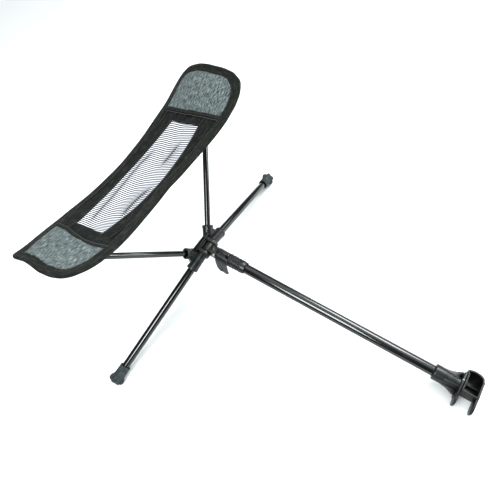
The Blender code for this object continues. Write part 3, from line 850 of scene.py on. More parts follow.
@dataclass
class Legs:
    """Two leg tubes in lobed rubber feet."""

    root: tuple[float, float, float] = (0.0, 0.0164, 0.0)
    end: tuple[float, float, float] = (-0.0339, 0.2870, -0.1222)
    radius: float = 0.00725
    bore: float = 0.00625
    span: tuple[float, float] = (0.0086, 0.290)
    foot_start: float = 0.262
    foot_end: float = 0.299
    lobes: int = 6

    def axis(self, side: Side) -> Axis:
        """A leg's line."""
        flip = np.array([1.0, side.value, 1.0])
        return Axis.between(self.root * flip, self.end * flip)

    def foot(self) -> Patch:
        """The cup: a turned skin whose base swells into lobes.

        The swell at an angle is (0.5 + 0.5 cos(lobes * angle))^0.6, and along the foot it
        rises from nothing in the last 18 mm and falls a little at the sole.
        """
        bore = self.radius + 0.0001
        end = self.foot_end
        corners = [(0, self.span[1] + 0.0002), (bore, self.span[1] + 0.0002),
                   (bore, self.foot_start + 0.002), (0.0084, self.foot_start),
                   (0.0098, self.foot_start), (0.0101, self.foot_start + 0.003),
                   (0.0099, self.foot_start + 0.0045), (0.0106, end - 0.014),
                   (0.0108, end - 0.0085), (0.0108, end - 0.004), (0.0098, end), (0.0050, end),
                   (0.0046, end - 0.0012), (0, end - 0.0012)]
        profile = resampled(solid_profile(corners, 0.0012), 90, closed=False)

        def swell(angle: Array, height: Array) -> Array:
            """Share by which the radius grows."""
            round_lobe = (0.5 + 0.5 * np.cos(self.lobes * angle)) ** 0.6
            grown = ramp(height, end - 0.0165, end - 0.0070) * (1 - 0.25 * ramp(height, end - 0.003, end))
            outside = ramp(profile[None, :, 0] + 0 * height, 0.0078, 0.0100)
            return 0.36 * round_lobe * grown * outside

        return turned_patch(profile, 144, swell)

    def build(self, bench: Bench) -> None:
        """Makes both legs."""
        for side in Side:
            axis = self.axis(side)
            body = f"leg_{side.label}"
            tube = turned_patch(tube_profile(self.radius, self.bore, *self.span), 64)
            bench.piece(f"leg_tube_{side.label}_fine", [axis.lay(tube)], TUBE, body,
                        [f"leg_tube_{side.label}"])
            bench.piece(f"foot_{side.label}_fine", [axis.lay(self.foot())], RUBBER, body,
                        [f"foot_{side.label}"], sharp=60)


@dataclass
class Poles:
    """Two sling poles with capped tips and a rivet each."""

    root: tuple[float, float, float] = (-0.0111, 0.0183, -0.0047)
    tip: tuple[float, float, float] = (-0.1385, 0.2195, 0.1684)
    radius: float = 0.0055
    bore: float = 0.0045
    start: float = 0.0066
    rivet_at: float = 0.0215

    def axis(self, side: Side) -> Axis:
        """A pole's line."""
        flip = np.array([1.0, side.value, 1.0])
        return Axis.between(self.root * flip, self.tip * flip)

    def length(self) -> float:
        """Root to tip."""
        return float(np.linalg.norm(np.subtract(self.tip, self.root)))

    def rivet_axis(self, side: Side) -> Axis:
        """The rivet's line, out of the pole's upper side."""
        axis = self.axis(side)
        return Axis.towards(axis.at(self.rivet_at), -axis.down)

    def build(self, bench: Bench) -> None:
        """Makes both poles, their caps and rivets.

        Args:
            bench: makes each piece and gives it its finish.
        """
        end = self.length()
        for side in Side:
            axis = self.axis(side)
            tube = turned_patch(tube_profile(self.radius, self.bore, self.start, end - 0.006), 56)
            bench.piece(f"sling_pole_{side.label}_fine", [axis.lay(tube)], TUBE, "frame",
                        [f"sling_pole_{side.label}"])
            inner = self.radius + 0.0001
            cap = solid_profile([(0, end - 0.0058), (inner, end - 0.0058), (inner, end - 0.024),
                                 (0.0067, end - 0.024), (0.0065, end - 0.008),
                                 (0.0052, end - 0.003), (0.0030, end - 0.0006), (0, end)], 0.0006)
            bench.piece(f"pole_cap_{side.label}_fine", [axis.lay(turned_patch(cap, 48))], PLASTIC,
                        "frame", [f"pole_cap_{side.label}"])
            dome = solid_profile([(0, 0.0060), (0.0010, 0.0060), (0.0010, 0.0106), (0.0022, 0.0106),
                                  (0.0022, 0.0112), (0.0015, 0.0120), (0, 0.0122)], 0.0005)
            bench.piece(f"pole_rivet_{side.label}_fine",
                        [self.rivet_axis(side).lay(turned_patch(dome, 32))], DULL_STEEL, "frame",
                        [f"pole_rivet_{side.label}"])


@dataclass
class Hub:
    """The moulding that takes both legs, both poles and the arm's knuckle."""

    legs: Legs
    poles: Poles
    back_x: float = -0.017
    slot_x: float = -0.007
    nose_radius: float = 0.0112
    half_width: float = 0.0175
    slot_half_width: float = 0.010
    z: tuple[float, float] = (-0.0125, 0.0105)
    leg_socket: float = 0.0112
    leg_socket_end: float = 0.036
    pole_socket: float = 0.0105
    pole_socket_end: float = 0.028
    rib_x: tuple[float, float] = (-0.0145, -0.0095)

    def socket(self, radius: float, end: float, bore: float, floor: float, mouth: float) -> Patch:
        """A socket with a rolled lip and a bore that opens towards its mouth."""
        corners = np.array([[0, -0.002], [radius - 0.0010, -0.002], [radius - 0.0006, end - 0.0060],
                            [radius, end - 0.0050], [radius, end], [mouth, end],
                            [bore, end - 0.0040], [bore, floor], [0, floor]])
        return turned_patch(filleted(corners, 0.0009, 4), 72)

    def cheek(self, side: Side) -> Patch:
        """A cheek of the clevis: a plate with a round nose about the pivot."""
        angle = np.linspace(-math.pi / 2, math.pi / 2, 17)
        nose = np.column_stack([PIVOT_X + self.nose_radius * np.cos(angle),
                                -0.0010 + self.nose_radius * np.sin(angle)])
        outline = np.concatenate([[[self.back_x, self.z[0]]], nose, [[self.back_x, self.z[1]]]])
        low, high = sorted((side.value * self.slot_half_width, side.value * self.half_width))
        plate = slab_patch(outline, low, high, 0.0014)
        return plate.turned(np.array([[1.0, 0, 0], [0, 0, 1.0], [0, 1.0, 0]]), np.zeros(3))

    def web(self, side: Side) -> Patch:
        """The gusset between a pole socket and a leg socket, a plate in the plane of both.

        Args:
            side: the side of the hub.

        Returns:
            The gusset as one patch.
        """
        leg, pole = self.legs.axis(side), self.poles.axis(side)
        start = 0.5 * (leg.root + pole.root)
        edge_a = leg.at(self.leg_socket_end - 0.003) - start
        edge_b = pole.at(self.pole_socket_end - 0.003) - start
        x_axis = unit(edge_a)
        z_axis = unit(np.cross(edge_a, edge_b))
        y_axis = np.cross(z_axis, x_axis)
        far = np.array([edge_b @ x_axis, edge_b @ y_axis])
        near = np.array([edge_a @ x_axis, 0.0])
        sag = 0.5 * (near + far) * 0.96
        plan = np.array([[0.0, 0.0], near, sag, far])
        outline = filleted(plan, (0.001, 0.003, 0.016, 0.003), 8, closed=True)
        plate = slab_patch(outline, -0.0066, 0.0066, 0.0012)
        return plate.turned(np.array([x_axis, y_axis, z_axis]), start)

    def build(self, bench: Bench) -> None:
        """Makes the hub as one piece.

        Args:
            bench: makes each piece and gives it its finish.
        """
        parts = [box_patch((self.back_x, -self.half_width, self.z[0]),
                           (self.slot_x, self.half_width, self.z[1] - 0.0030), 0.003, 0.0015)]
        for side in Side:
            parts.append(self.cheek(side))
            parts.append(self.web(side))
            leg_bore, pole_bore = self.legs.radius + TUBE_PLAY, self.poles.radius + TUBE_PLAY
            parts.append(self.legs.axis(side).lay(
                self.socket(self.leg_socket, self.leg_socket_end, leg_bore, 0.008, 0.0085)))
            parts.append(self.poles.axis(side).lay(
                self.socket(self.pole_socket, self.pole_socket_end, pole_bore, 0.006, 0.0078)))
        for x in self.rib_x:
            parts.append(box_patch((x - 0.0011, -0.0215, 0.0060), (x + 0.0011, 0.0215, 0.0146),
                                   0.0006, 0.0005))
        bench.piece("hub_moulding", parts, PLASTIC, "frame", ["hub_body"])


@dataclass
class Knuckle:
    """The hinged block between the hub and the arm."""

    radius: float = 0.0094
    half_width: float = 0.0087
    flange: tuple[float, float] = (0.0195, 0.0245)
    flange_radius: float = 0.0110
    rivet_x: float = 0.0222
    rivet_angle: float = math.radians(58)

    def rivet_axis(self) -> Axis:
        """The spigot rivet's line, up and to the left."""
        outward = (0.0, -math.sin(self.rivet_angle), math.cos(self.rivet_angle))
        return Axis.towards((self.rivet_x, 0.0, 0.0), outward)

    def build(self, bench: Bench) -> None:
        """Makes the knuckle and its rivet."""
        across = Axis.towards((PIVOT_X, 0.0, 0.0), (0.0, 1.0, 0.0))
        eye = tube_profile(self.radius, 0.0031, -self.half_width, self.half_width, 0.0010)
        neck = box_patch((PIVOT_X + 0.0045, -self.half_width, -0.0085),
                         (self.flange[0] + 0.001, self.half_width, 0.0085), 0.001, 0.0016)
        flange = filleted(np.array([[0.0052, self.flange[0]], [self.flange_radius, self.flange[0]],
                                    [self.flange_radius, self.flange[1]], [0.0052, self.flange[1]]]),
                          0.0009, 4, closed=True)
        parts = [across.lay(turned_patch(eye, 72)), neck, ARM_AXIS.lay(turned_patch(flange, 72))]
        bench.piece("knuckle_moulding", parts, NECK, "knuckle_block", ["knuckle"])
        dome = solid_profile([(0, 0.0012), (0.0015, 0.0012), (0.0015, 0.0111), (0.0031, 0.0111),
                              (0.0031, 0.0117), (0.0021, 0.0129), (0, 0.0131)], 0.0006)
        bench.piece("spigot_rivet_fine", [self.rivet_axis().lay(turned_patch(dome, 36))], STEEL,
                    "knuckle_block", ["spigot_rivet"])


@dataclass
class Arm:
    """The telescopic arm: two tubes, the collar that clamps them and its cam lever."""

    inner: tuple[float, float, float, float] = (0.008, 0.007, 0.0249, 0.404)
    outer: tuple[float, float, float, float] = (0.0095, 0.00835, 0.0523, 0.484)
    clamp_x: float = 0.0250
    shoulder_x: float = 0.0520
    mouth_x: float = 0.0885
    clamp_radius: float = 0.0116
    sleeve_radius: float = 0.0123
    grooves: int = 4
    groove_pitch: float = 0.0062
    groove_start: float = 0.0568
    pin_z: float = 0.0153
    pin_radius: float = 0.0015
    barrel_radius: float = 0.0034
    ears: tuple[tuple[float, float], tuple[float, float]] = ((0.0253, 0.0280), (0.0480, 0.0507))
    lever_x: tuple[float, float] = (0.0283, 0.0477)
    lever_inner: float = 0.0128
    lever_thickness: float = 0.0024
    lever_wrap: float = math.radians(86)
    lever_tail: float = 0.0315
    lever_shift: float = 0.008

    def collar(self) -> Patch:
        """Clamp and sleeve in one turned skin, with grip grooves on the upper three quarters.

        A groove's depth is a raised cosine of the distance from its middle, times a mask
        that fades out under the arm.
        """
        bore = self.inner[0] + 0.0002
        sleeve_bore = self.outer[0] + 0.0001
        corners = np.array([[bore, self.clamp_x], [self.clamp_radius, self.clamp_x],
                            [self.clamp_radius, 0.0502], [self.sleeve_radius, 0.0522],
                            [self.sleeve_radius, 0.0818], [0.0114, 0.0868], [0.0114, self.mouth_x],
                            [0.0106, self.mouth_x], [sleeve_bore, self.mouth_x - 0.0022],
                            [sleeve_bore, self.shoulder_x], [bore, self.shoulder_x]])
        profile = resampled(filleted(corners, 0.0007, 4, closed=True), 420)

        def swell(angle: Array, height: Array) -> Array:
            """Share by which the radius shrinks in a groove."""
            place = (height - self.groove_start) / self.groove_pitch
            nearest = np.clip(np.round(place), 0, self.grooves - 1)
            away = np.abs(place - nearest) * self.groove_pitch
            groove = 1 - ramp(away, 0.0007, 0.0016)
            outside = ramp(profile[None, :, 0] + 0 * height, 0.0110, 0.0120)
            upper = 1 - ramp(np.cos(angle), 0.55, 0.85)
            return -0.085 * groove * outside * upper

        return turned_patch(profile, 144, swell)

    def ear(self, low: float, high: float) -> list[Patch]:
        """One ear: a round end on a post, which holds the lever's pin."""
        angle = np.linspace(0.0, math.pi, 17)
        top = np.column_stack([-0.0035 * np.cos(angle), self.pin_z + 0.0035 * np.sin(angle)])
        outline = np.concatenate([[[-0.0046, 0.0100]], top, [[0.0046, 0.0100]]])
        plate = slab_patch(outline, low, high, 0.0005)
        return [plate.turned(np.array([[0, 1.0, 0], [0, 0, 1.0], [1.0, 0, 0]]), np.zeros(3))]

    def lever(self) -> Patch:
        """The cam lever: a rounded section carried round the collar and down to a finger tail.

        The path is an arc about the arm, then its tangent. The section is a rectangle with
        round edges that widens once it is past the ear. Its left side moves towards the clip
        along the tail, and its end is cut into two lobes: the cut at a share w of the width
        is a sum of three bell curves, one at each corner and one at the notch.
        """
        bend, tail = 22, 34
        angle = np.linspace(math.radians(3), self.lever_wrap, bend)
        middle = self.lever_inner + self.lever_thickness / 2
        arc = np.column_stack([-np.sin(angle), np.cos(angle)]) * middle
        tangent = np.array([-math.cos(self.lever_wrap), -math.sin(self.lever_wrap)])
        reach = np.linspace(0.0, self.lever_tail, tail)[1:]
        path = np.concatenate([arc, arc[-1] + reach[:, None] * tangent])
        ahead = unit(np.gradient(path, axis=0))
        outward = np.column_stack([ahead[:, 1], -ahead[:, 0]])
        share = np.concatenate([np.zeros(bend), reach / self.lever_tail])
        width = np.linspace(0.0, 1.0, 41)
        shift = self.lever_shift * share ** 1.5
        past_ear = ramp(np.concatenate([angle, np.full(tail - 1, self.lever_wrap)]), 0.40, 0.62)
        low = self.lever_x[0] + 0.0002 + shift - 0.0008 * share
        high = self.lever_x[1] - 0.0002 + 0.0070 * past_ear + 0.0048 * share
        x = low[:, None] + (high - low)[:, None] * width[None, :]
        lobes = 0.0125 * np.exp(-((width - 0.42) / 0.090) ** 2) + 0.0050 * np.exp(-(width / 0.12) ** 2)
        lobes = lobes + 0.0070 * np.exp(-((1 - width) / 0.10) ** 2)
        back = lobes[None, :] * ramp(share, 0.70, 1.0)[:, None]
        edge = np.minimum(np.minimum(width, 1 - width) * (high - low).mean() / 0.0012, 1.0)
        rim = np.sqrt(np.clip(1 - (1 - edge) ** 2, 0, 1))
        fade = np.sqrt(np.clip(1 - ramp(share, 0.955, 1.0) ** 2, 0.0, 1.0))
        half = 0.5 * self.lever_thickness * np.maximum(rim[None, :] * fade[:, None], 0.02)
        rib = 0.0007 * (1 - ramp(np.abs(width - 0.5), 0.30, 0.42))[None, :] * ramp(share, 0.1, 0.5)[:, None]
        flat_y = path[:, None, 0] - ahead[:, None, 0] * back
        flat_z = path[:, None, 1] - ahead[:, None, 1] * back

        def face(sign: float, hollow: Array | float) -> Array:
            """Outer or inner skin of the lever."""
            off = sign * half - hollow
            y = flat_y + outward[:, None, 0] * -off
            z = flat_z + outward[:, None, 1] * -off
            return np.stack([x, y, z], axis=-1)

        upper, lower = face(1.0, rib), face(-1.0, 0.0)
        rings = np.concatenate([upper, lower[:, ::-1]], axis=1)
        patch = grid_patch(rings, False, True)
        around = rings.shape[1]
        patch.caps = [list(range(around)), list(range((len(path) - 1) * around, len(path) * around))]
        return patch

    def build(self, bench: Bench) -> None:
        """Makes tubes, collar, pin and lever.

        Args:
            bench: makes each piece and gives it its finish.
        """
        bench.piece("inner_tube_fine", [ARM_AXIS.lay(turned_patch(tube_profile(*self.inner), 72))],
                    TUBE, "inner_arm", ["inner_tube"])
        bench.piece("outer_tube_fine", [ARM_AXIS.lay(turned_patch(tube_profile(*self.outer), 80))],
                    TUBE, "outer_arm", ["outer_tube"])
        parts = [ARM_AXIS.lay(self.collar())]
        for low, high in self.ears:
            parts += self.ear(low, high)
        bench.piece("lock_collar_fine", parts, PLASTIC, "outer_arm", ["lock_collar"])
        pin_axis = Axis.towards((0.0, 0.0, self.pin_z), (1.0, 0.0, 0.0))
        pin = solid_profile([(0, 0.0249), (self.pin_radius, 0.0249), (self.pin_radius, 0.0511),
                             (0, 0.0511)], 0.0004)
        bench.piece("lever_pin_fine", [pin_axis.lay(turned_patch(pin, 32))], STEEL, "outer_arm",
                    ["lever_pin"])
        barrel = tube_profile(self.barrel_radius, self.pin_radius + 0.0001, *self.lever_x, 0.0005)
        bench.piece("lever_fine", [self.lever(), pin_axis.lay(turned_patch(barrel, 48))], PLASTIC,
                    "lever", ["lock_lever"], sharp=50)


@dataclass
class Clip:
    """The socket with its flange and prong, and the cored jaw with the other prong."""

    mouth_x: float = 0.461
    flange_x: float = 0.5035
    face_x: float = 0.509
    far_x: float = 0.538
    back_y: float = 0.0292
    mouth_y: float = -0.012
    tip_y: float = -0.038
    prong_half_height: float = 0.011
    prong_thickness: float = 0.004
    half_height: float = 0.012
    flange_half_height: float = 0.014
    wall: float = 0.0035
    bore: float = 0.0096
    bore_end: float = 0.487
    screws: tuple[tuple[float, float], tuple[float, float]] = ((0.0155, 0.0075), (0.0155, -0.0075))

    def socket(self) -> Patch:
        """The turned socket: a straight mouth, then a waist that runs into the flange."""
        corners = np.array([[0, self.bore_end], [self.bore, self.bore_end],
                            [self.bore, self.mouth_x + 0.001], [0.0102, self.mouth_x],
                            [0.0130, self.mouth_x], [0.0138, self.mouth_x + 0.0015],
                            [0.0136, 0.479], [0.0120, 0.4985], [0.0122, self.flange_x + 0.002],
                            [0, self.flange_x + 0.002]])
        return ARM_AXIS.lay(turned_patch(filleted(corners, 0.0012, 5), 96))

    def fin(self, side: Side) -> Patch:
        """A flared fin from the socket's waist out to the flange."""
        plan = np.array([[0.474, 0.0100], [0.4765, 0.0140], [0.487, 0.0150],
                         [self.flange_x + 0.001, 0.0228], [self.flange_x + 0.001, 0.0100]])
        outline = filleted(plan, (0.0005, 0.0015, 0.0060, 0.0005, 0.0005), 6, closed=True)
        return slab_patch(outline * (1, side.value), -0.0032, 0.0032, 0.0009)

    def side_rib(self) -> Patch:
        """The raised rib along the socket's upper left side."""
        angle = math.radians(38)
        up = np.array([0.0, -math.sin(angle), math.cos(angle)])
        across = np.cross(up, [1.0, 0.0, 0.0])
        bar = box_patch((0.4785, -0.0022, 0.0080), (self.flange_x + 0.001, 0.0022, 0.0153), 0.0008, 0.0009)
        return bar.turned(np.array([[1.0, 0, 0], across, up]), np.zeros(3))

    def prong(self, low: float, high: float, root: float) -> Patch:
        """A prong: a tongue whose tip corners are well rounded, between two x."""
        half = self.prong_half_height
        corners = np.array([[root, -half], [self.tip_y, -half], [self.tip_y, half], [root, half]])
        outline = filleted(corners, (0.0005, 0.0105, 0.0105, 0.0005), 12, closed=True)
        plate = slab_patch(outline, low, high, 0.0013)
        return plate.turned(np.array([[0, 1.0, 0], [0, 0, 1.0], [1.0, 0, 0]]), np.zeros(3))

    def boss(self) -> Patch:
        """The small domed rivet in the flange's upper edge."""
        dome = solid_profile([(0, 0.0100), (0.0027, 0.0100), (0.0027, 0.0146), (0.0018, 0.0154),
                              (0, 0.0156)], 0.0007)
        return Axis.towards((0.5060, 0.0048, 0.0), (0.0, 0.0, 1.0)).lay(turned_patch(dome, 32))

    def screw(self, y: float, z: float) -> Patch:
        """A pan-head screw from the socket's side."""
        head = self.flange_x - 0.0003
        corners = [(0, head - 0.0016), (0.0009, head - 0.0016), (0.0009, head - 0.0026),
                   (0.0022, head - 0.0026), (0.0036, head - 0.0012), (0.0036, head),
                   (0.0015, head), (0.0015, 0.5125), (0, 0.5125)]
        axis = Axis.towards((0.0, y, z), (1.0, 0.0, 0.0))
        return axis.lay(turned_patch(solid_profile(corners, 0.0004), 40))

    def jaw_plan(self) -> Array:
        """Outline of the jaw block: a crowned back, a step near its far corner."""
        near, far, back = self.face_x + 0.0003, self.far_x, self.back_y
        plan = np.array([[near, self.mouth_y], [near, 0.0208], [near - 0.0018, 0.0222],
                         [near - 0.0018, back - 0.0014], [near + 0.008, back + 0.0012],
                         [near + 0.018, back + 0.0006], [far - 0.0046, back - 0.0022],
                         [far - 0.0018, back - 0.0060], [far - 0.0018, back - 0.0085],
                         [far, back - 0.0095], [far, self.mouth_y]])
        reach = (0.0008, 0.0008, 0.0008, 0.0020, 0.0060, 0.0060, 0.0030, 0.0010, 0.0006, 0.0008, 0.0008)
        return filleted(plan, reach, 5, closed=True)

    def jaw(self) -> list[Patch]:
        """The cored jaw: a wall carried round its outline on a floor, and a cross rib in the core."""
        outline = resampled(self.jaw_plan(), 260)
        ahead = unit(np.roll(outline, -1, axis=0) - np.roll(outline, 1, axis=0))
        inward = np.column_stack([ahead[:, 1], -ahead[:, 0]])
        centre = outline.mean(axis=0)
        flip = np.sign(np.sum(inward * (centre - outline), axis=1).sum())
        inward = softened(inward * flip, 6)
        height, wall = self.half_height, self.wall
        section = filleted(np.array([[0.0, -height], [wall, -height], [wall, height], [0.0, height]]),
                           0.0009, 3, closed=True)
        path = np.column_stack([outline, np.zeros(len(outline))])
        across = np.column_stack([inward, np.zeros(len(outline))])
        lift = np.tile([0.0, 0.0, 1.0], (len(outline), 1))
        shell = swept_patch(path, across, lift, section)
        floor = slab_patch(outline + inward * 0.0012, -height + 0.0002, -height + wall, 0.0005)
        rib = box_patch((self.face_x + wall - 0.001, 0.0055, -height + 0.001),
                        (self.far_x - wall + 0.001, 0.0075, -height + 0.011), 0.0003, 0.0005)
        return [shell, floor, rib]

    def build(self, bench: Bench) -> None:
        """Makes socket, jaw and screws."""
        flange = box_patch((self.flange_x, -self.flange_half_height, self.mouth_y - 0.010),
                           (self.face_x, self.flange_half_height, 0.0200), 0.0050, 0.0010)
        upright = flange.turned(np.array([[1.0, 0, 0], [0, 0, 1.0], [0, 1.0, 0]]), np.zeros(3))
        parts = [self.socket(), upright, self.side_rib(),
                 self.prong(self.face_x - self.prong_thickness, self.face_x, -0.014)]
        parts += [self.fin(side) for side in Side]
        bench.piece("clip_socket_fine", parts, PLASTIC, "outer_arm", ["clip_socket"])
        jaw = self.jaw() + [self.prong(self.far_x - self.prong_thickness, self.far_x, self.mouth_y + 0.003)]
        bench.piece("clip_jaw_fine", jaw, CLIP_PLASTIC, "outer_arm", ["clip_jaw"])
        bench.piece("flange_rivet", [self.boss()], DULL_STEEL, "outer_arm")
        for (y, z), label in zip(self.screws, ("upper", "lower")):
            bench.piece(f"clip_screw_{label}_fine", [self.screw(y, z)], BLACK_STEEL, "outer_arm",
                        [f"clip_screw_{label}"])


# ---------------------------------------------------------------- the sling


@dataclass
class Sling:
    """The seat: dark cloth with a striped mesh window, heather ends and a taped edge.

    Its shape is worked out from two numbers: y to the right and v across, from the back
    edge to the front. A point is (middle_x + v cos tilt, y, z(y) + v sin tilt), and z(y)
    sags as a parabola between the ends.
    """

    poles: Poles
    middle_x: float = -0.128
    end_y: float = 0.236
    end_z: float = 0.188
    sag: float = 0.055
    tilt: float = math.radians(16.8)
    front_edge: tuple[tuple[float, float], ...] = (
        (0.0, 0.0715), (0.051, 0.0760), (0.104, 0.0830), (0.150, 0.0885), (0.184, 0.0880),
        (0.208, 0.0830), (0.228, 0.0715), (0.2415, 0.0480), (0.2470, 0.0200))
    right_end: tuple[tuple[float, float], ...] = (
        (0.2495, -0.0120), (0.2500, -0.0380), (0.2430, -0.0600), (0.2290, -0.0750),
        (0.2100, -0.0765), (0.1700, -0.0715), (0.1300, -0.0680), (0.0700, -0.0655))
    left_end: tuple[tuple[float, float], ...] = (
        (-0.0700, -0.0655), (-0.1300, -0.0665), (-0.1650, -0.0650), (-0.1950, -0.0600),
        (-0.2240, -0.0510), (-0.2425, -0.0465), (-0.2420, -0.0385), (-0.2385, -0.0230),
        (-0.2395, -0.0050), (-0.2430, 0.0250), (-0.2415, 0.0500), (-0.2350, 0.0680),
        (-0.2250, 0.0775), (-0.2050, 0.0855), (-0.1840, 0.0885), (-0.1500, 0.0885),
        (-0.1040, 0.0830), (-0.0510, 0.0760))
    hem_y: float = 0.1570
    hem_width: float = 0.0074
    window_y: float = 0.134
    window_mean_width: float = 0.080
    curve_allowance: float = 1.02
    window_back: tuple[float, float] = (-0.036, -0.028)
    window_front: tuple[float, float] = (0.049, 0.040)
    tape_width: float = 0.0120
    tape_thickness: float = 0.0046
    cloth_gap: float = 0.0008
    stitch_pitch: float = 0.0042

    def surface(self, y: Array, v: Array, lift: Array | float = 0.0) -> Array:
        """Points of the sling's surface, moved along its normal by lift."""
        points = self.skin(y, v)
        return points + self.normal(y, v) * np.asarray(lift)[..., None]

    def skin(self, y: Array, v: Array) -> Array:
        """The bare surface: the sagging parabola, long low ripples, and a back edge that curls down.

        Past a line near the back edge the drop grows as 17 times the distance squared, and
        it fades out towards the middle of the sling.
        """
        turn = -0.050 + 0.012 * ramp(-y, 0.150, 0.236)
        past = np.clip(turn - v, 0.0, None)
        curl = 17.0 * past ** 2 * (0.25 + 0.75 * ramp(np.abs(y), 0.110, 0.180))
        ripple = 0.0005 * np.sin(y * 61 + v * 40) * np.cos(v * 95 - y * 18)
        z = self.end_z - self.sag * (1 - (y / self.end_y) ** 2) - curl + ripple
        return np.stack([self.middle_x + v * math.cos(self.tilt), y + 0 * v,
                         z + v * math.sin(self.tilt)], axis=-1)

    def normal(self, y: Array, v: Array) -> Array:
        """Upward normal: the cross product of small steps along v and along y."""
        step = 2e-4
        across = self.skin(y, v + step) - self.skin(y, v - step)
        along = self.skin(y + step, v) - self.skin(y - step, v)
        return unit(np.cross(across, along))

    def length(self, y: Array) -> Array:
        """Distance along the cloth from the middle, the arc length of the parabola."""
        slope = 2 * self.sag / self.end_y ** 2 * y
        scale = self.end_y ** 2 / (2 * self.sag)
        return 0.5 * scale * (slope * np.sqrt(1 + slope ** 2) + np.arcsinh(slope))

    def outline(self) -> Array:
        """The cloth's edge as a closed, evened-out line of (y, v), from the front's middle."""
        loop = np.concatenate([self.front_edge, self.right_end, [(0.0, -0.065)], self.left_end])
        return resampled(softened(resampled(loop, 720), 14), 560)

    def rails(self) -> tuple[Array, Array]:
        """The edge and, at each of its points, the direction inwards, eased round the corners."""
        line = self.outline()
        ahead = unit(np.roll(line, -1, axis=0) - np.roll(line, 1, axis=0))
        return line, unit(softened(np.column_stack([ahead[:, 1], -ahead[:, 0]]), 70))

    def tape_reach(self, line: Array) -> Array:
        """Width of the tape: more along the front and at the left end."""
        y, v = line[:, 0], line[:, 1]
        wider = 0.0042 * ramp(v, 0.030, 0.075) + 0.0034 * ramp(-y, 0.200, 0.232) * (1 - ramp(v, 0.03, 0.07))
        return self.tape_width + wider

    def hem_line(self, side: Side, v: Array) -> Array:
        """Where a hem runs, y at each v: straight on the right, a slow wave on the left."""
        if side is Side.RIGHT:
            return self.hem_y - 0.0006 + 0.0006 * np.sin(v * 60)
        return -(self.hem_y + 0.0012 + 0.0046 * np.sin(42 * (v + 0.008)) * (1 - 0.7 * ramp(v, 0.050, 0.075)))

    def edges(self, y: Array) -> tuple[Array, Array]:
        """Back and front edge, v, at each y."""
        line = self.outline()
        front, back = line[line[:, 1] > 0], line[line[:, 1] < 0]
        front, back = front[np.argsort(front[:, 0])], back[np.argsort(back[:, 0])]
        return np.interp(y, back[:, 0], back[:, 1]), np.interp(y, front[:, 0], front[:, 1])

    def window(self, y: Array) -> tuple[Array, Array]:
        """Back and front edge of the mesh window at each y."""
        share = np.clip(np.abs(y) / self.window_y, 0, 1) ** 2
        back = self.window_back[0] + (self.window_back[1] - self.window_back[0]) * share
        front = self.window_front[0] + (self.window_front[1] - self.window_front[0]) * share
        return back, front

    def sheet(self, y_range: tuple[float, float], bounds: Callable[[Array], tuple[Array, Array]],
              counts: tuple[int, int], lift: Callable[[Array, Array], Array],
              mark: Callable[[Array, Array], Array] | None = None) -> Patch:
        """A grid of the surface.

        Args:
            y_range: where it starts and ends along the sling.
            bounds: lowest and highest v at each y.
            counts: cells along and across.
            lift: height above the surface over y and v.
            mark: seam value over y and v.

        Returns:
            The patch, with its UV in metres.
        """
        y = np.linspace(*y_range, counts[0] + 1)
        low, high = bounds(y)
        share = np.linspace(0.0, 1.0, counts[1] + 1)
        v = low[:, None] + (high - low)[:, None] * share[None, :]
        wide = y[:, None] + 0 * v
        points = self.surface(wide, v, lift(wide, v))
        uv = np.stack([self.length(wide), v], axis=-1)
        patch = grid_patch(points, uv=uv, mark=None if mark is None else mark(wide, v))
        patch.quads = patch.quads[:, ::-1]
        return patch

    def end_sheet(self, side: Side, inset: float, start: Callable[[Array], Array],
                  counts: tuple[int, int], lift: Callable[[Array, Array], Array]) -> Patch:
        """A rounded end of the sling, ruled from a line across it to the edge.

        Args:
            side: which end.
            inset: distance inside the cloth's edge.
            start: y of the line across, at each v.
            counts: cells from the line to the edge, and along the edge.
            lift: height above the surface over y and v.

        Returns:
            The patch, with its UV in metres.
        """
        line = self.inset(inset)[:-1]
        beyond = np.abs(line[:, 0]) > np.abs(start(line[:, 1]))
        rim = resampled(line[beyond & (line[:, 0] * side.value > 0)], counts[1] + 1, closed=False)
        across = np.linspace(rim[0, 1], rim[-1, 1], counts[1] + 1)
        root = np.column_stack([start(across), across])
        share = np.linspace(0.0, 1.0, counts[0] + 1)[:, None, None]
        flat = root[None] + (rim - root)[None] * share
        y, v = flat[..., 0], flat[..., 1]
        patch = grid_patch(self.surface(y, v, lift(y, v)), uv=np.stack([self.length(y), v], axis=-1))
        first, second = (patch.points[patch.quads[:, k]] - patch.points[patch.quads[:, 0]] for k in (1, 3))
        if np.cross(first, second)[:, 2].sum() < 0:
            patch.quads = patch.quads[:, ::-1]
        return patch

    def creases(self) -> list[tuple[Array, Array, float]]:
        """Each crease of the mesh as y, v and the height of its lip, which faces the front."""
        return [(np.array([-0.124, -0.100, -0.065, -0.036, -0.003, 0.030, 0.072]),
                 np.array([-0.0095, -0.0145, -0.0193, -0.0234, -0.0258, -0.0275, -0.0215]), 0.0016),
                (np.array([-0.094, -0.070, -0.052, -0.037, -0.004]),
                 np.array([0.0390, 0.0345, 0.0325, 0.0335, 0.0385]), 0.0046),
                (np.array([0.034, 0.050, 0.072, 0.100]), np.array([0.0165, 0.0180, 0.0205, 0.0245]), 0.0036)]

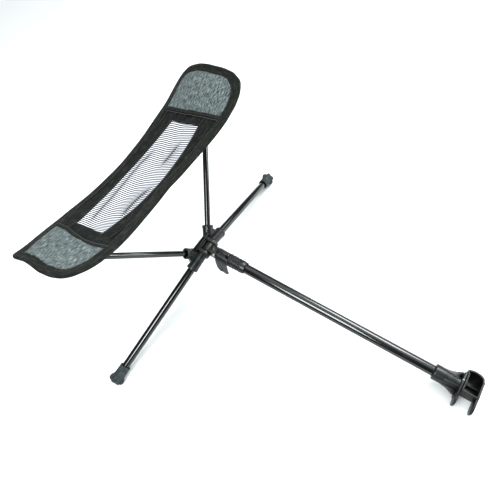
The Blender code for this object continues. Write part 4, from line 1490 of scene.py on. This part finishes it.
    def crease_field(self, y: Array, v: Array) -> tuple[Array, Array]:
        """Height of the creases, and their marks: millimetres away and strength.

        A crease's lip rises over 16 mm as an exponential and drops within 2 mm.

        Args:
            y: places along the sling.
            v: places across it.

        Returns:
            Height at each place, and its mark for the crease layer.
        """
        height = np.zeros_like(v)
        mark = np.stack([np.full_like(v, 9.0), np.zeros_like(v)], axis=-1)
        for line_y, line_v, lip in self.creases():
            curve = np.interp(y, line_y, line_v)
            begun = ramp(y, line_y[0] - 0.004, line_y[0] + 0.020)
            ended = ramp(y, line_y[-1] - 0.024, line_y[-1] + 0.006)
            strength = begun * (1 - ended)
            away = curve - v
            rise = np.exp(-np.clip(away, 0, None) / 0.016) * ramp(away, -0.0020, 0.0002)
            height += lip * strength * rise
            nearer = (np.abs(away) * 1000 < np.abs(mark[..., 0])) & (strength > 0)
            mark[nearer] = np.stack([away * 1000, strength], axis=-1)[nearer]
        return height, mark

    def mesh_panel(self) -> Patch:
        """The mesh window: it bellies down a little and its ribs bow towards the front edge."""
        def lift(y: Array, v: Array) -> Array:
            """Belly, creases and slack."""
            back, front = self.window(y)
            share = np.clip((v - back) / (front - back), 0, 1)
            belly = -0.0045 * np.sin(math.pi * share) * (1 - (y / self.window_y) ** 4)
            wave = 0.0011 * np.sin(y * 72 + 1.1) * np.sin(math.pi * share) ** 2
            return -0.0006 + belly + wave + self.crease_field(y, v)[0]

        def bounds(y: Array) -> tuple[Array, Array]:
            """The window with a seam allowance under the strips."""
            back, front = self.window(y)
            return back - 0.003, front + 0.003

        def mark(y: Array, v: Array) -> Array:
            """How far the nearest crease is, and its strength."""
            return self.crease_field(y, v)[1]

        patch = self.sheet((-self.window_y - 0.003, self.window_y + 0.003), bounds, (270, 96), lift, mark)
        across = patch.uv[:, 1]
        y = patch.uv[:, 0]
        bow = 0.0060 * ramp(across, 0.000, 0.046) - 0.0022 * ramp(-across, 0.012, 0.040)
        patch.uv = np.column_stack([y - bow, across])
        return patch

    def woven_frame(self) -> list[Patch]:
        """The dark cloth round the window, in two strips and two rounded ends."""
        def back_strip(y: Array) -> tuple[Array, Array]:
            """From the back edge to the window."""
            return self.edges(y)[0] + 0.003, self.window(y)[0]

        def front_strip(y: Array) -> tuple[Array, Array]:
            """From the window to the front edge."""
            return self.window(y)[1], self.edges(y)[1] - 0.003

        def flat(y: Array, v: Array) -> Array:
            """On the surface."""
            return 0.0 * v

        def window_end(side: Side) -> Callable[[Array], Array]:
            """The straight line across the sling at one end of the window."""
            def start(v: Array) -> Array:
                """The same y at every v."""
                return side.value * self.window_y + 0 * v

            return start

        reach = (-self.window_y, self.window_y)
        strips = [self.sheet(reach, back_strip, (150, 20), flat),
                  self.sheet(reach, front_strip, (150, 22), flat)]
        return strips + [self.end_sheet(side, 0.003, window_end(side), (60, 90), flat) for side in Side]

    def side_strips(self) -> list[Patch]:
        """A second layer sewn down each side of the window, from hem to hem."""
        def lift(y: Array, v: Array) -> Array:
            """A cloth's thickness above the frame."""
            return self.cloth_gap + 0.0 * v

        def back(y: Array) -> tuple[Array, Array]:
            """Beside the window's back edge."""
            return self.window(y)[0] - 0.026, self.window(y)[0] + 0.0012

        def front(y: Array) -> tuple[Array, Array]:
            """Beside the window's front edge."""
            return self.window(y)[1] - 0.0012, self.window(y)[1] + 0.023

        reach = self.hem_y + 0.001
        return [self.sheet((-reach, reach), back, (170, 14), lift),
                self.sheet((-reach, reach), front, (170, 14), lift)]

    def pocket(self, side: Side) -> Patch:
        """A heather end: a sheet over the frame, slack in its middle."""
        def lift(y: Array, v: Array) -> Array:
            """The pole's tip lifts the middle; the hem side lies flat."""
            reach = (np.abs(y) - self.hem_y) / (0.236 - self.hem_y)
            along = np.clip(np.sin(math.pi * np.clip(reach, 0, 1)), 0, 1)
            crown = along * np.exp(-((v - 0.004) / 0.044) ** 4)
            fold = 0.0009 * np.sin(v * 110 + side.value) * crown
            return 0.0013 + 0.0042 * crown + fold

        def start(v: Array) -> Array:
            """Just outside the hem."""
            return self.hem_line(side, v) + side.value * 0.001

        return self.end_sheet(side, 0.0055, start, (60, 110), lift)

    def hem(self, side: Side) -> Patch:
        """The rolled hem between a heather end and the dark cloth, a flat roll from edge to edge."""
        half = self.hem_width / 2 * (1.0 if side is Side.RIGHT else 0.72)
        section = filleted(np.array([[-half, -0.0010], [half, -0.0010], [half, 0.0013], [-half, 0.0013]]),
                           0.0011, 4, closed=True)
        return self.crosswise(side, 0.0, 0.005, section, 0.0016)

    def piping(self, side: Side) -> Patch:
        """The thin cord sewn beside each hem."""
        angle = np.linspace(0.0, TAU, 10, endpoint=False)
        section = 0.00075 * np.column_stack([np.cos(angle), np.sin(angle)])
        beside = -0.0052 if side is Side.RIGHT else -0.0042
        return self.crosswise(side, beside, 0.011, section, 0.0014)

    def crosswise(self, side: Side, beside: float, short: float, section: Array, lift: float) -> Patch:
        """Carries a section along a hem line.

        Args:
            side: which hem.
            beside: distance outwards from the hem's middle.
            short: how far it stops inside the cloth's edges.
            section: (n, 2) closed section, across and up.
            lift: height of its middle.

        Returns:
            The capped roll.
        """
        back, front = self.edges(np.array([side.value * self.hem_y]))
        v = np.linspace(back[0] + short, front[0] - short, 150)
        y = self.hem_line(side, v) + side.value * beside + 0.0002 * np.sin(v * 190)
        line = self.surface(y, v, lift + 0.00025 * np.sin(v * 230))
        up = self.normal(y, v)
        across = unit(np.cross(np.gradient(line, axis=0), up))
        patch = swept_patch(line, across, up, section, closed=False)
        count = len(section)
        patch.caps = [list(range(count)), list(range((len(v) - 1) * count, len(v) * count))]
        patch.uv = np.column_stack([np.tile(section[:, 0], len(v)) + self.hem_y, np.repeat(v, count)])
        return patch

    def tape(self) -> Patch:
        """The binding: a folded tape carried round the edge, fat at the rim and thin inside."""
        line, inward = self.rails()
        half, wide = self.tape_thickness / 2, self.tape_width
        bead = half * 1.22
        section = filleted(np.array([[-0.0016, -bead], [0.0036, -bead], [0.0056, -half], [wide, -half],
                                     [wide, half], [0.0056, half], [0.0036, bead], [-0.0016, bead]]),
                           0.0020, 5, closed=True)
        reach = section[None, :, 0] * (self.tape_reach(line) / wide)[:, None]
        y = line[:, None, 0] + inward[:, None, 0] * reach
        v = line[:, None, 1] + inward[:, None, 1] * reach
        travelled = np.concatenate([[0.0], np.cumsum(np.linalg.norm(np.diff(line, axis=0), axis=1))])
        pucker = 0.00022 * np.sin(travelled[:, None] * TAU / 0.011) * ramp(section[None, :, 0], 0.004, wide)
        lift = section[None, :, 1] + 0.0004 + pucker * np.sign(section[None, :, 1])
        girth = np.concatenate([[0.0], np.cumsum(np.linalg.norm(np.diff(section, axis=0), axis=1))])
        uv = np.stack([travelled[:, None] + 0 * y, girth[None, :] + 0 * y], axis=-1)
        return grid_patch(self.surface(y, v, lift), True, True, uv=uv)

    def stitch_run(self, line: Array, lift: float) -> Patch:
        """Lock stitches along a line of (y, v): each is a small bar that dips at both ends.

        A stitch is a six-sided ring at five stations; its height is a sine along it.

        Args:
            line: points of (y, v) that the row follows.
            lift: height of the row above the surface.

        Returns:
            All the row's stitches as one patch.
        """
        step = float(np.linalg.norm(np.diff(line, axis=0), axis=1).sum())
        count = max(2, int(step / self.stitch_pitch))
        middle = resampled(line, 2 * count + 1, closed=False)[1::2]
        ahead = unit(np.gradient(middle, axis=0))
        station = np.linspace(-1.0, 1.0, 5)
        half = 0.34 * self.stitch_pitch
        y = middle[:, None, 0] + ahead[:, None, 0] * station[None, :] * half
        v = middle[:, None, 1] + ahead[:, None, 1] * station[None, :] * half
        spine = self.surface(y, v, lift + 0.00022 * np.cos(station * math.pi / 2)[None, :] + 0 * y)
        up = self.normal(y, v)
        side_y, side_v = -ahead[:, None, 1] + 0 * y, ahead[:, None, 0] + 0 * v
        out = unit(self.surface(y + side_y * 1e-4, v + side_v * 1e-4) - self.surface(y, v))
        angle = np.linspace(0.0, TAU, 6, endpoint=False)
        radius = 0.00034 * np.sqrt(np.clip(1.05 - station ** 2, 0.05, 1.0))
        wide = np.cos(angle)[None, None, :] * radius[None, :, None]
        high = np.sin(angle)[None, None, :] * radius[None, :, None] * 0.8
        ring = spine[:, :, None] + out[:, :, None] * wide[..., None] + up[:, :, None] * high[..., None]
        shells = []
        for stitch in ring:
            patch = grid_patch(stitch, False, True)
            patch.caps = [list(range(6)), list(range(24, 30))]
            shells.append(patch)
        return joined(shells)

    def inset(self, distance: float | Array) -> Array:
        """The outline moved in by a distance, closed."""
        line, inward = self.rails()
        moved = line + inward * np.reshape(distance, (-1, 1))
        return np.concatenate([moved, moved[:1]])

    def stitches(self) -> list[Patch]:
        """Every visible row of stitches on the upper side."""
        top = self.tape_thickness / 2 + 0.0002
        rows = [self.stitch_run(self.inset(self.tape_reach(self.outline()) - 0.0020), top)]
        for side in Side:
            back, front = self.edges(np.array([side.value * self.hem_y]))
            v = np.linspace(back[0] + 0.013, front[0] - 0.018, 60)
            beside_hem = np.column_stack([self.hem_line(side, v) - side.value * 0.0012, v])
            rows.append(self.stitch_run(beside_hem, 0.0029))
        reach = np.linspace(-self.hem_y + 0.006, self.hem_y - 0.006, 80)
        back, front = self.window(reach)
        for v in (back - 0.0010, back - 0.0238, front + 0.0010, front + 0.0208):
            rows.append(self.stitch_run(np.column_stack([reach, v]), self.cloth_gap + 0.0004))
        for side in Side:
            y = side.value * (self.window_y + 0.0022)
            low, high = self.window(np.array([y]))
            rows.append(self.stitch_run(np.array([[y, low[0] + 0.002], [y, high[0] - 0.002]]), 0.0003))
        return rows

    def sleeve(self, side: Side) -> Patch:
        """The cloth sleeve under a sling end that takes the capped tip of a pole.

        It is turned about the pole and gathered round its mouth, and its mouth is rolled.

        Args:
            side: the end of the sling.

        Returns:
            The sleeve as one patch.
        """
        end = self.poles.length()
        inner = 0.0070
        corners = np.array([[0, end + 0.0003], [0.0034, end - 0.0002], [0.0058, end - 0.0030],
                            [inner, end - 0.0080], [inner, end - 0.0420], [0.0079, end - 0.0424],
                            [0.0084, end - 0.0405], [0.0079, end - 0.0385], [0.0079, end - 0.0080],
                            [0.0066, end - 0.0022], [0.0042, end + 0.0009], [0, end + 0.0014]])
        profile = resampled(filleted(corners, 0.0008, 3), 90, closed=False)

        def swell(angle: Array, height: Array) -> Array:
            """Gathers round the mouth."""
            near_mouth = 1 - ramp(height, end - 0.040, end - 0.018)
            outside = ramp(profile[None, :, 0] + 0 * height, inner + 0.0002, 0.0079)
            return 0.030 * np.sin(9 * angle) * near_mouth * outside

        patch = turned_patch(profile, 96, swell)
        angle = np.repeat(np.linspace(0, TAU * inner, 96), len(profile))
        patch.uv = np.column_stack([np.tile(profile[:, 1], 96), angle])
        return self.poles.axis(side).lay(patch)

    def strap(self, side: Side) -> Patch:
        """The webbing that ties a sleeve to the sling: a flat loop from sleeve to cloth.

        Args:
            side: the end of the sling.

        Returns:
            The strap as one patch.
        """
        axis = self.poles.axis(side)
        centre = axis.at(self.poles.length() - 0.020)
        across_sling = (centre[0] - self.middle_x) / math.cos(self.tilt)
        top = self.surface(np.array([side.value * 0.2150]), np.array([across_sling]), -0.0012)[0]
        up = unit(top - centre)
        across = unit(np.cross(axis.along, up))
        angle = np.linspace(0.0, TAU, 48, endpoint=False)
        rise = np.where(np.sin(angle) > 0, float(np.linalg.norm(top - centre)), 0.0090)
        ring = (centre + across * (np.cos(angle) * 0.0090)[:, None]
                + up * (np.sin(angle) * rise)[:, None])
        section = filleted(np.array([[-0.008, -0.0005], [0.008, -0.0005], [0.008, 0.0005], [-0.008, 0.0005]]),
                           0.0004, 3, closed=True)
        patch = swept_patch(ring, np.tile(axis.along, (48, 1)), unit(ring - centre), section)
        count = len(section)
        patch.uv = np.column_stack([np.repeat(angle * 0.009, count), np.tile(section[:, 0], 48)])
        return patch

    def build(self, bench: Bench) -> None:
        """Makes the sling.

        Args:
            bench: makes each piece and gives it its finish.
        """
        panel = bench.piece("sling_mesh", [self.mesh_panel()], MESH, "frame", sharp=80, thickness=0.0008)
        strips = bench.piece("sling_side_strips", self.side_strips(), OXFORD, "frame", sharp=80,
                             thickness=0.0006)
        pockets, trims = [], []
        for side in Side:
            pockets.append(bench.piece(f"sling_end_{side.label}", [self.pocket(side)], HEATHER, "frame",
                                       sharp=80, thickness=0.0007))
            trims.append(bench.piece(f"sling_hem_{side.label}", [self.hem(side)], TAPE, "frame", sharp=80))
            trims.append(bench.piece(f"sling_piping_{side.label}", [self.piping(side)], THREAD, "frame",
                                     sharp=80))
            bench.piece(f"pole_sleeve_{side.label}", [self.sleeve(side), self.strap(side)], TAPE, "frame",
                        [f"pole_pocket_{side.label}"], sharp=80)
        tape = bench.piece("sling_binding", [self.tape()], TAPE, "frame", sharp=80)
        thread = bench.piece("sling_stitches", self.stitches(), THREAD, "frame", sharp=80)
        cloth = bench.piece("sling_cloth", self.woven_frame(), OXFORD, "frame", ["sling_panel"], sharp=80,
                            thickness=0.0010)
        line = self.outline()
        window = 2 * self.window_y * self.window_mean_width
        flat_area = (abs(signed_area(line)) - window) * self.curve_allowance
        size = (float(np.ptp(line[:, 1])), float(np.ptp(self.length(line[:, 0]))))


# ---------------------------------------------------------------- studio


@dataclass(frozen=True)
class SoftBox:
    """A rectangular lamp: where it stands, the point it faces, its face and its watts."""

    name: str
    place: tuple[float, float, float]
    target: tuple[float, float, float]
    size: tuple[float, float]
    power: float

    def build(self) -> None:
        """Sets the lamp up, its face square to the line to its target."""
        data = bpy.data.lights.new(self.name, "AREA")
        data.shape = "RECTANGLE"
        data.size, data.size_y = self.size
        data.energy = self.power
        data.color = COOL_WHITE
        lamp = bpy.data.objects.new(self.name, data)
        bpy.context.scene.collection.objects.link(lamp)
        back = unit(np.subtract(self.place, self.target))
        across = unit(np.cross([0.0, 0.0, 1.0], back))
        matrix = np.eye(4)
        matrix[:3, 0], matrix[:3, 1], matrix[:3, 2] = across, np.cross(back, across), back
        matrix[:3, 3] = self.place
        lamp.matrix_world = Matrix(matrix.tolist())


@dataclass
class Studio:
    """Floor, lights, sky and camera. The camera's place is given in the arm's frame."""

    arm: ArmFrame
    eye: tuple[float, float, float] = (0.3498, -0.3540, 0.8359)
    right: tuple[float, float, float] = (0.847, 0.531, -0.029)
    forward: tuple[float, float, float] = (-0.286, 0.407, -0.867)
    lens: float = 36.05
    boxes: tuple[SoftBox, ...] = (
        SoftBox("overhead_box", (-0.4, 2.1, 5.0), (-0.4, 2.0, 0.0), (7.5, 7.0), 250.0),
        SoftBox("front_box", (0.10, -1.20, 1.28), (-0.05, -0.1, 0.1), (0.80, 0.95), 24.0),
        SoftBox("back_box", (0.45, 1.05, 1.25), (0.15, 0.0, 0.1), (0.90, 0.80), 20.0),
        SoftBox("right_box", (1.20, 0.75, 0.60), (0.0, 0.0, 0.15), (0.36, 0.66), 8.0),
        SoftBox("far_box", (0.40, 1.90, 0.90), (0.2, 0.0, 0.05), (1.4, 0.22), 5.0),
    )

    def camera(self) -> None:
        """Sets up the view: axes made square, then written as the camera's place."""
        forward = unit(np.array(self.forward) @ self.arm.axes)
        right = np.array(self.right) @ self.arm.axes
        right = unit(right - forward * float(right @ forward))
        up = np.cross(right, forward)
        data = bpy.data.cameras.new("main_view")
        data.lens, data.sensor_width = self.lens, 36.0
        data.clip_start, data.clip_end = 0.05, 20.0
        camera = bpy.data.objects.new("main_view", data)
        bpy.context.scene.collection.objects.link(camera)
        place = np.eye(4)
        place[:3, 0], place[:3, 1], place[:3, 2] = right, up, -forward
        place[:3, 3] = self.arm.point(*self.eye)
        camera.matrix_world = Matrix(place.tolist())
        bpy.context.scene.camera = camera

    def build(self) -> None:
        """Makes floor, sky, lamps and camera."""
        mesh = bpy.data.meshes.new("floor")
        reach = 30.0
        mesh.from_pydata([(-reach, -reach, 0), (reach, -reach, 0), (reach, reach, 0), (-reach, reach, 0)],
                         [], [(0, 1, 2, 3)])
        mesh.materials.append(FLOOR.material())
        floor = bpy.data.objects.new("floor", mesh)
        bpy.context.scene.collection.objects.link(floor)
        world = bpy.data.worlds.new("studio")
        bpy.context.scene.world = world
        world.use_nodes = True
        sky = world.node_tree.nodes["Background"]
        sky.inputs["Color"].default_value = (*COOL_WHITE, 1.0)
        sky.inputs["Strength"].default_value = SKY_STRENGTH
        for box in self.boxes:
            box.build()
        bpy.context.scene.view_settings.view_transform = "Standard"
        bpy.context.scene.view_settings.gamma = DISPLAY_GAMMA
        self.camera()


CAD_KEPT: dict[Finish, tuple[str, ...]] = {
    STEEL: ("arm_spigot", "pivot_pin", "swivel_screw"),
    PLASTIC: ("brake_pad", "pivot_washer_left", "pivot_washer_right", "swivel_bush", "tube_guide"),
    CORD: ("shock_cord_left", "shock_cord_right"),
}


def main() -> None:
    """Loads the frame, builds every piece and sets the scene."""
    logging.basicConfig(level=logging.INFO, format="%(name)s %(message)s")
    for obj in list(bpy.data.objects):
        bpy.data.objects.remove(obj, do_unlink=True)
    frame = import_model()
    arm = ArmFrame.from_joints(frame["joints"])
    bench = Bench(arm)
    legs, poles = Legs(), Poles()
    legs.build(bench)
    poles.build(bench)
    Hub(legs, poles).build(bench)
    Knuckle().build(bench)
    Arm().build(bench)
    Clip().build(bench)
    Sling(poles).build(bench)
    for finish, nodes in CAD_KEPT.items():
        Bench.dress(frame, finish, nodes)
    Studio(arm).build()
    LOG.info("%d pieces made", bench.made)


if __name__ == "__main__":
    main()
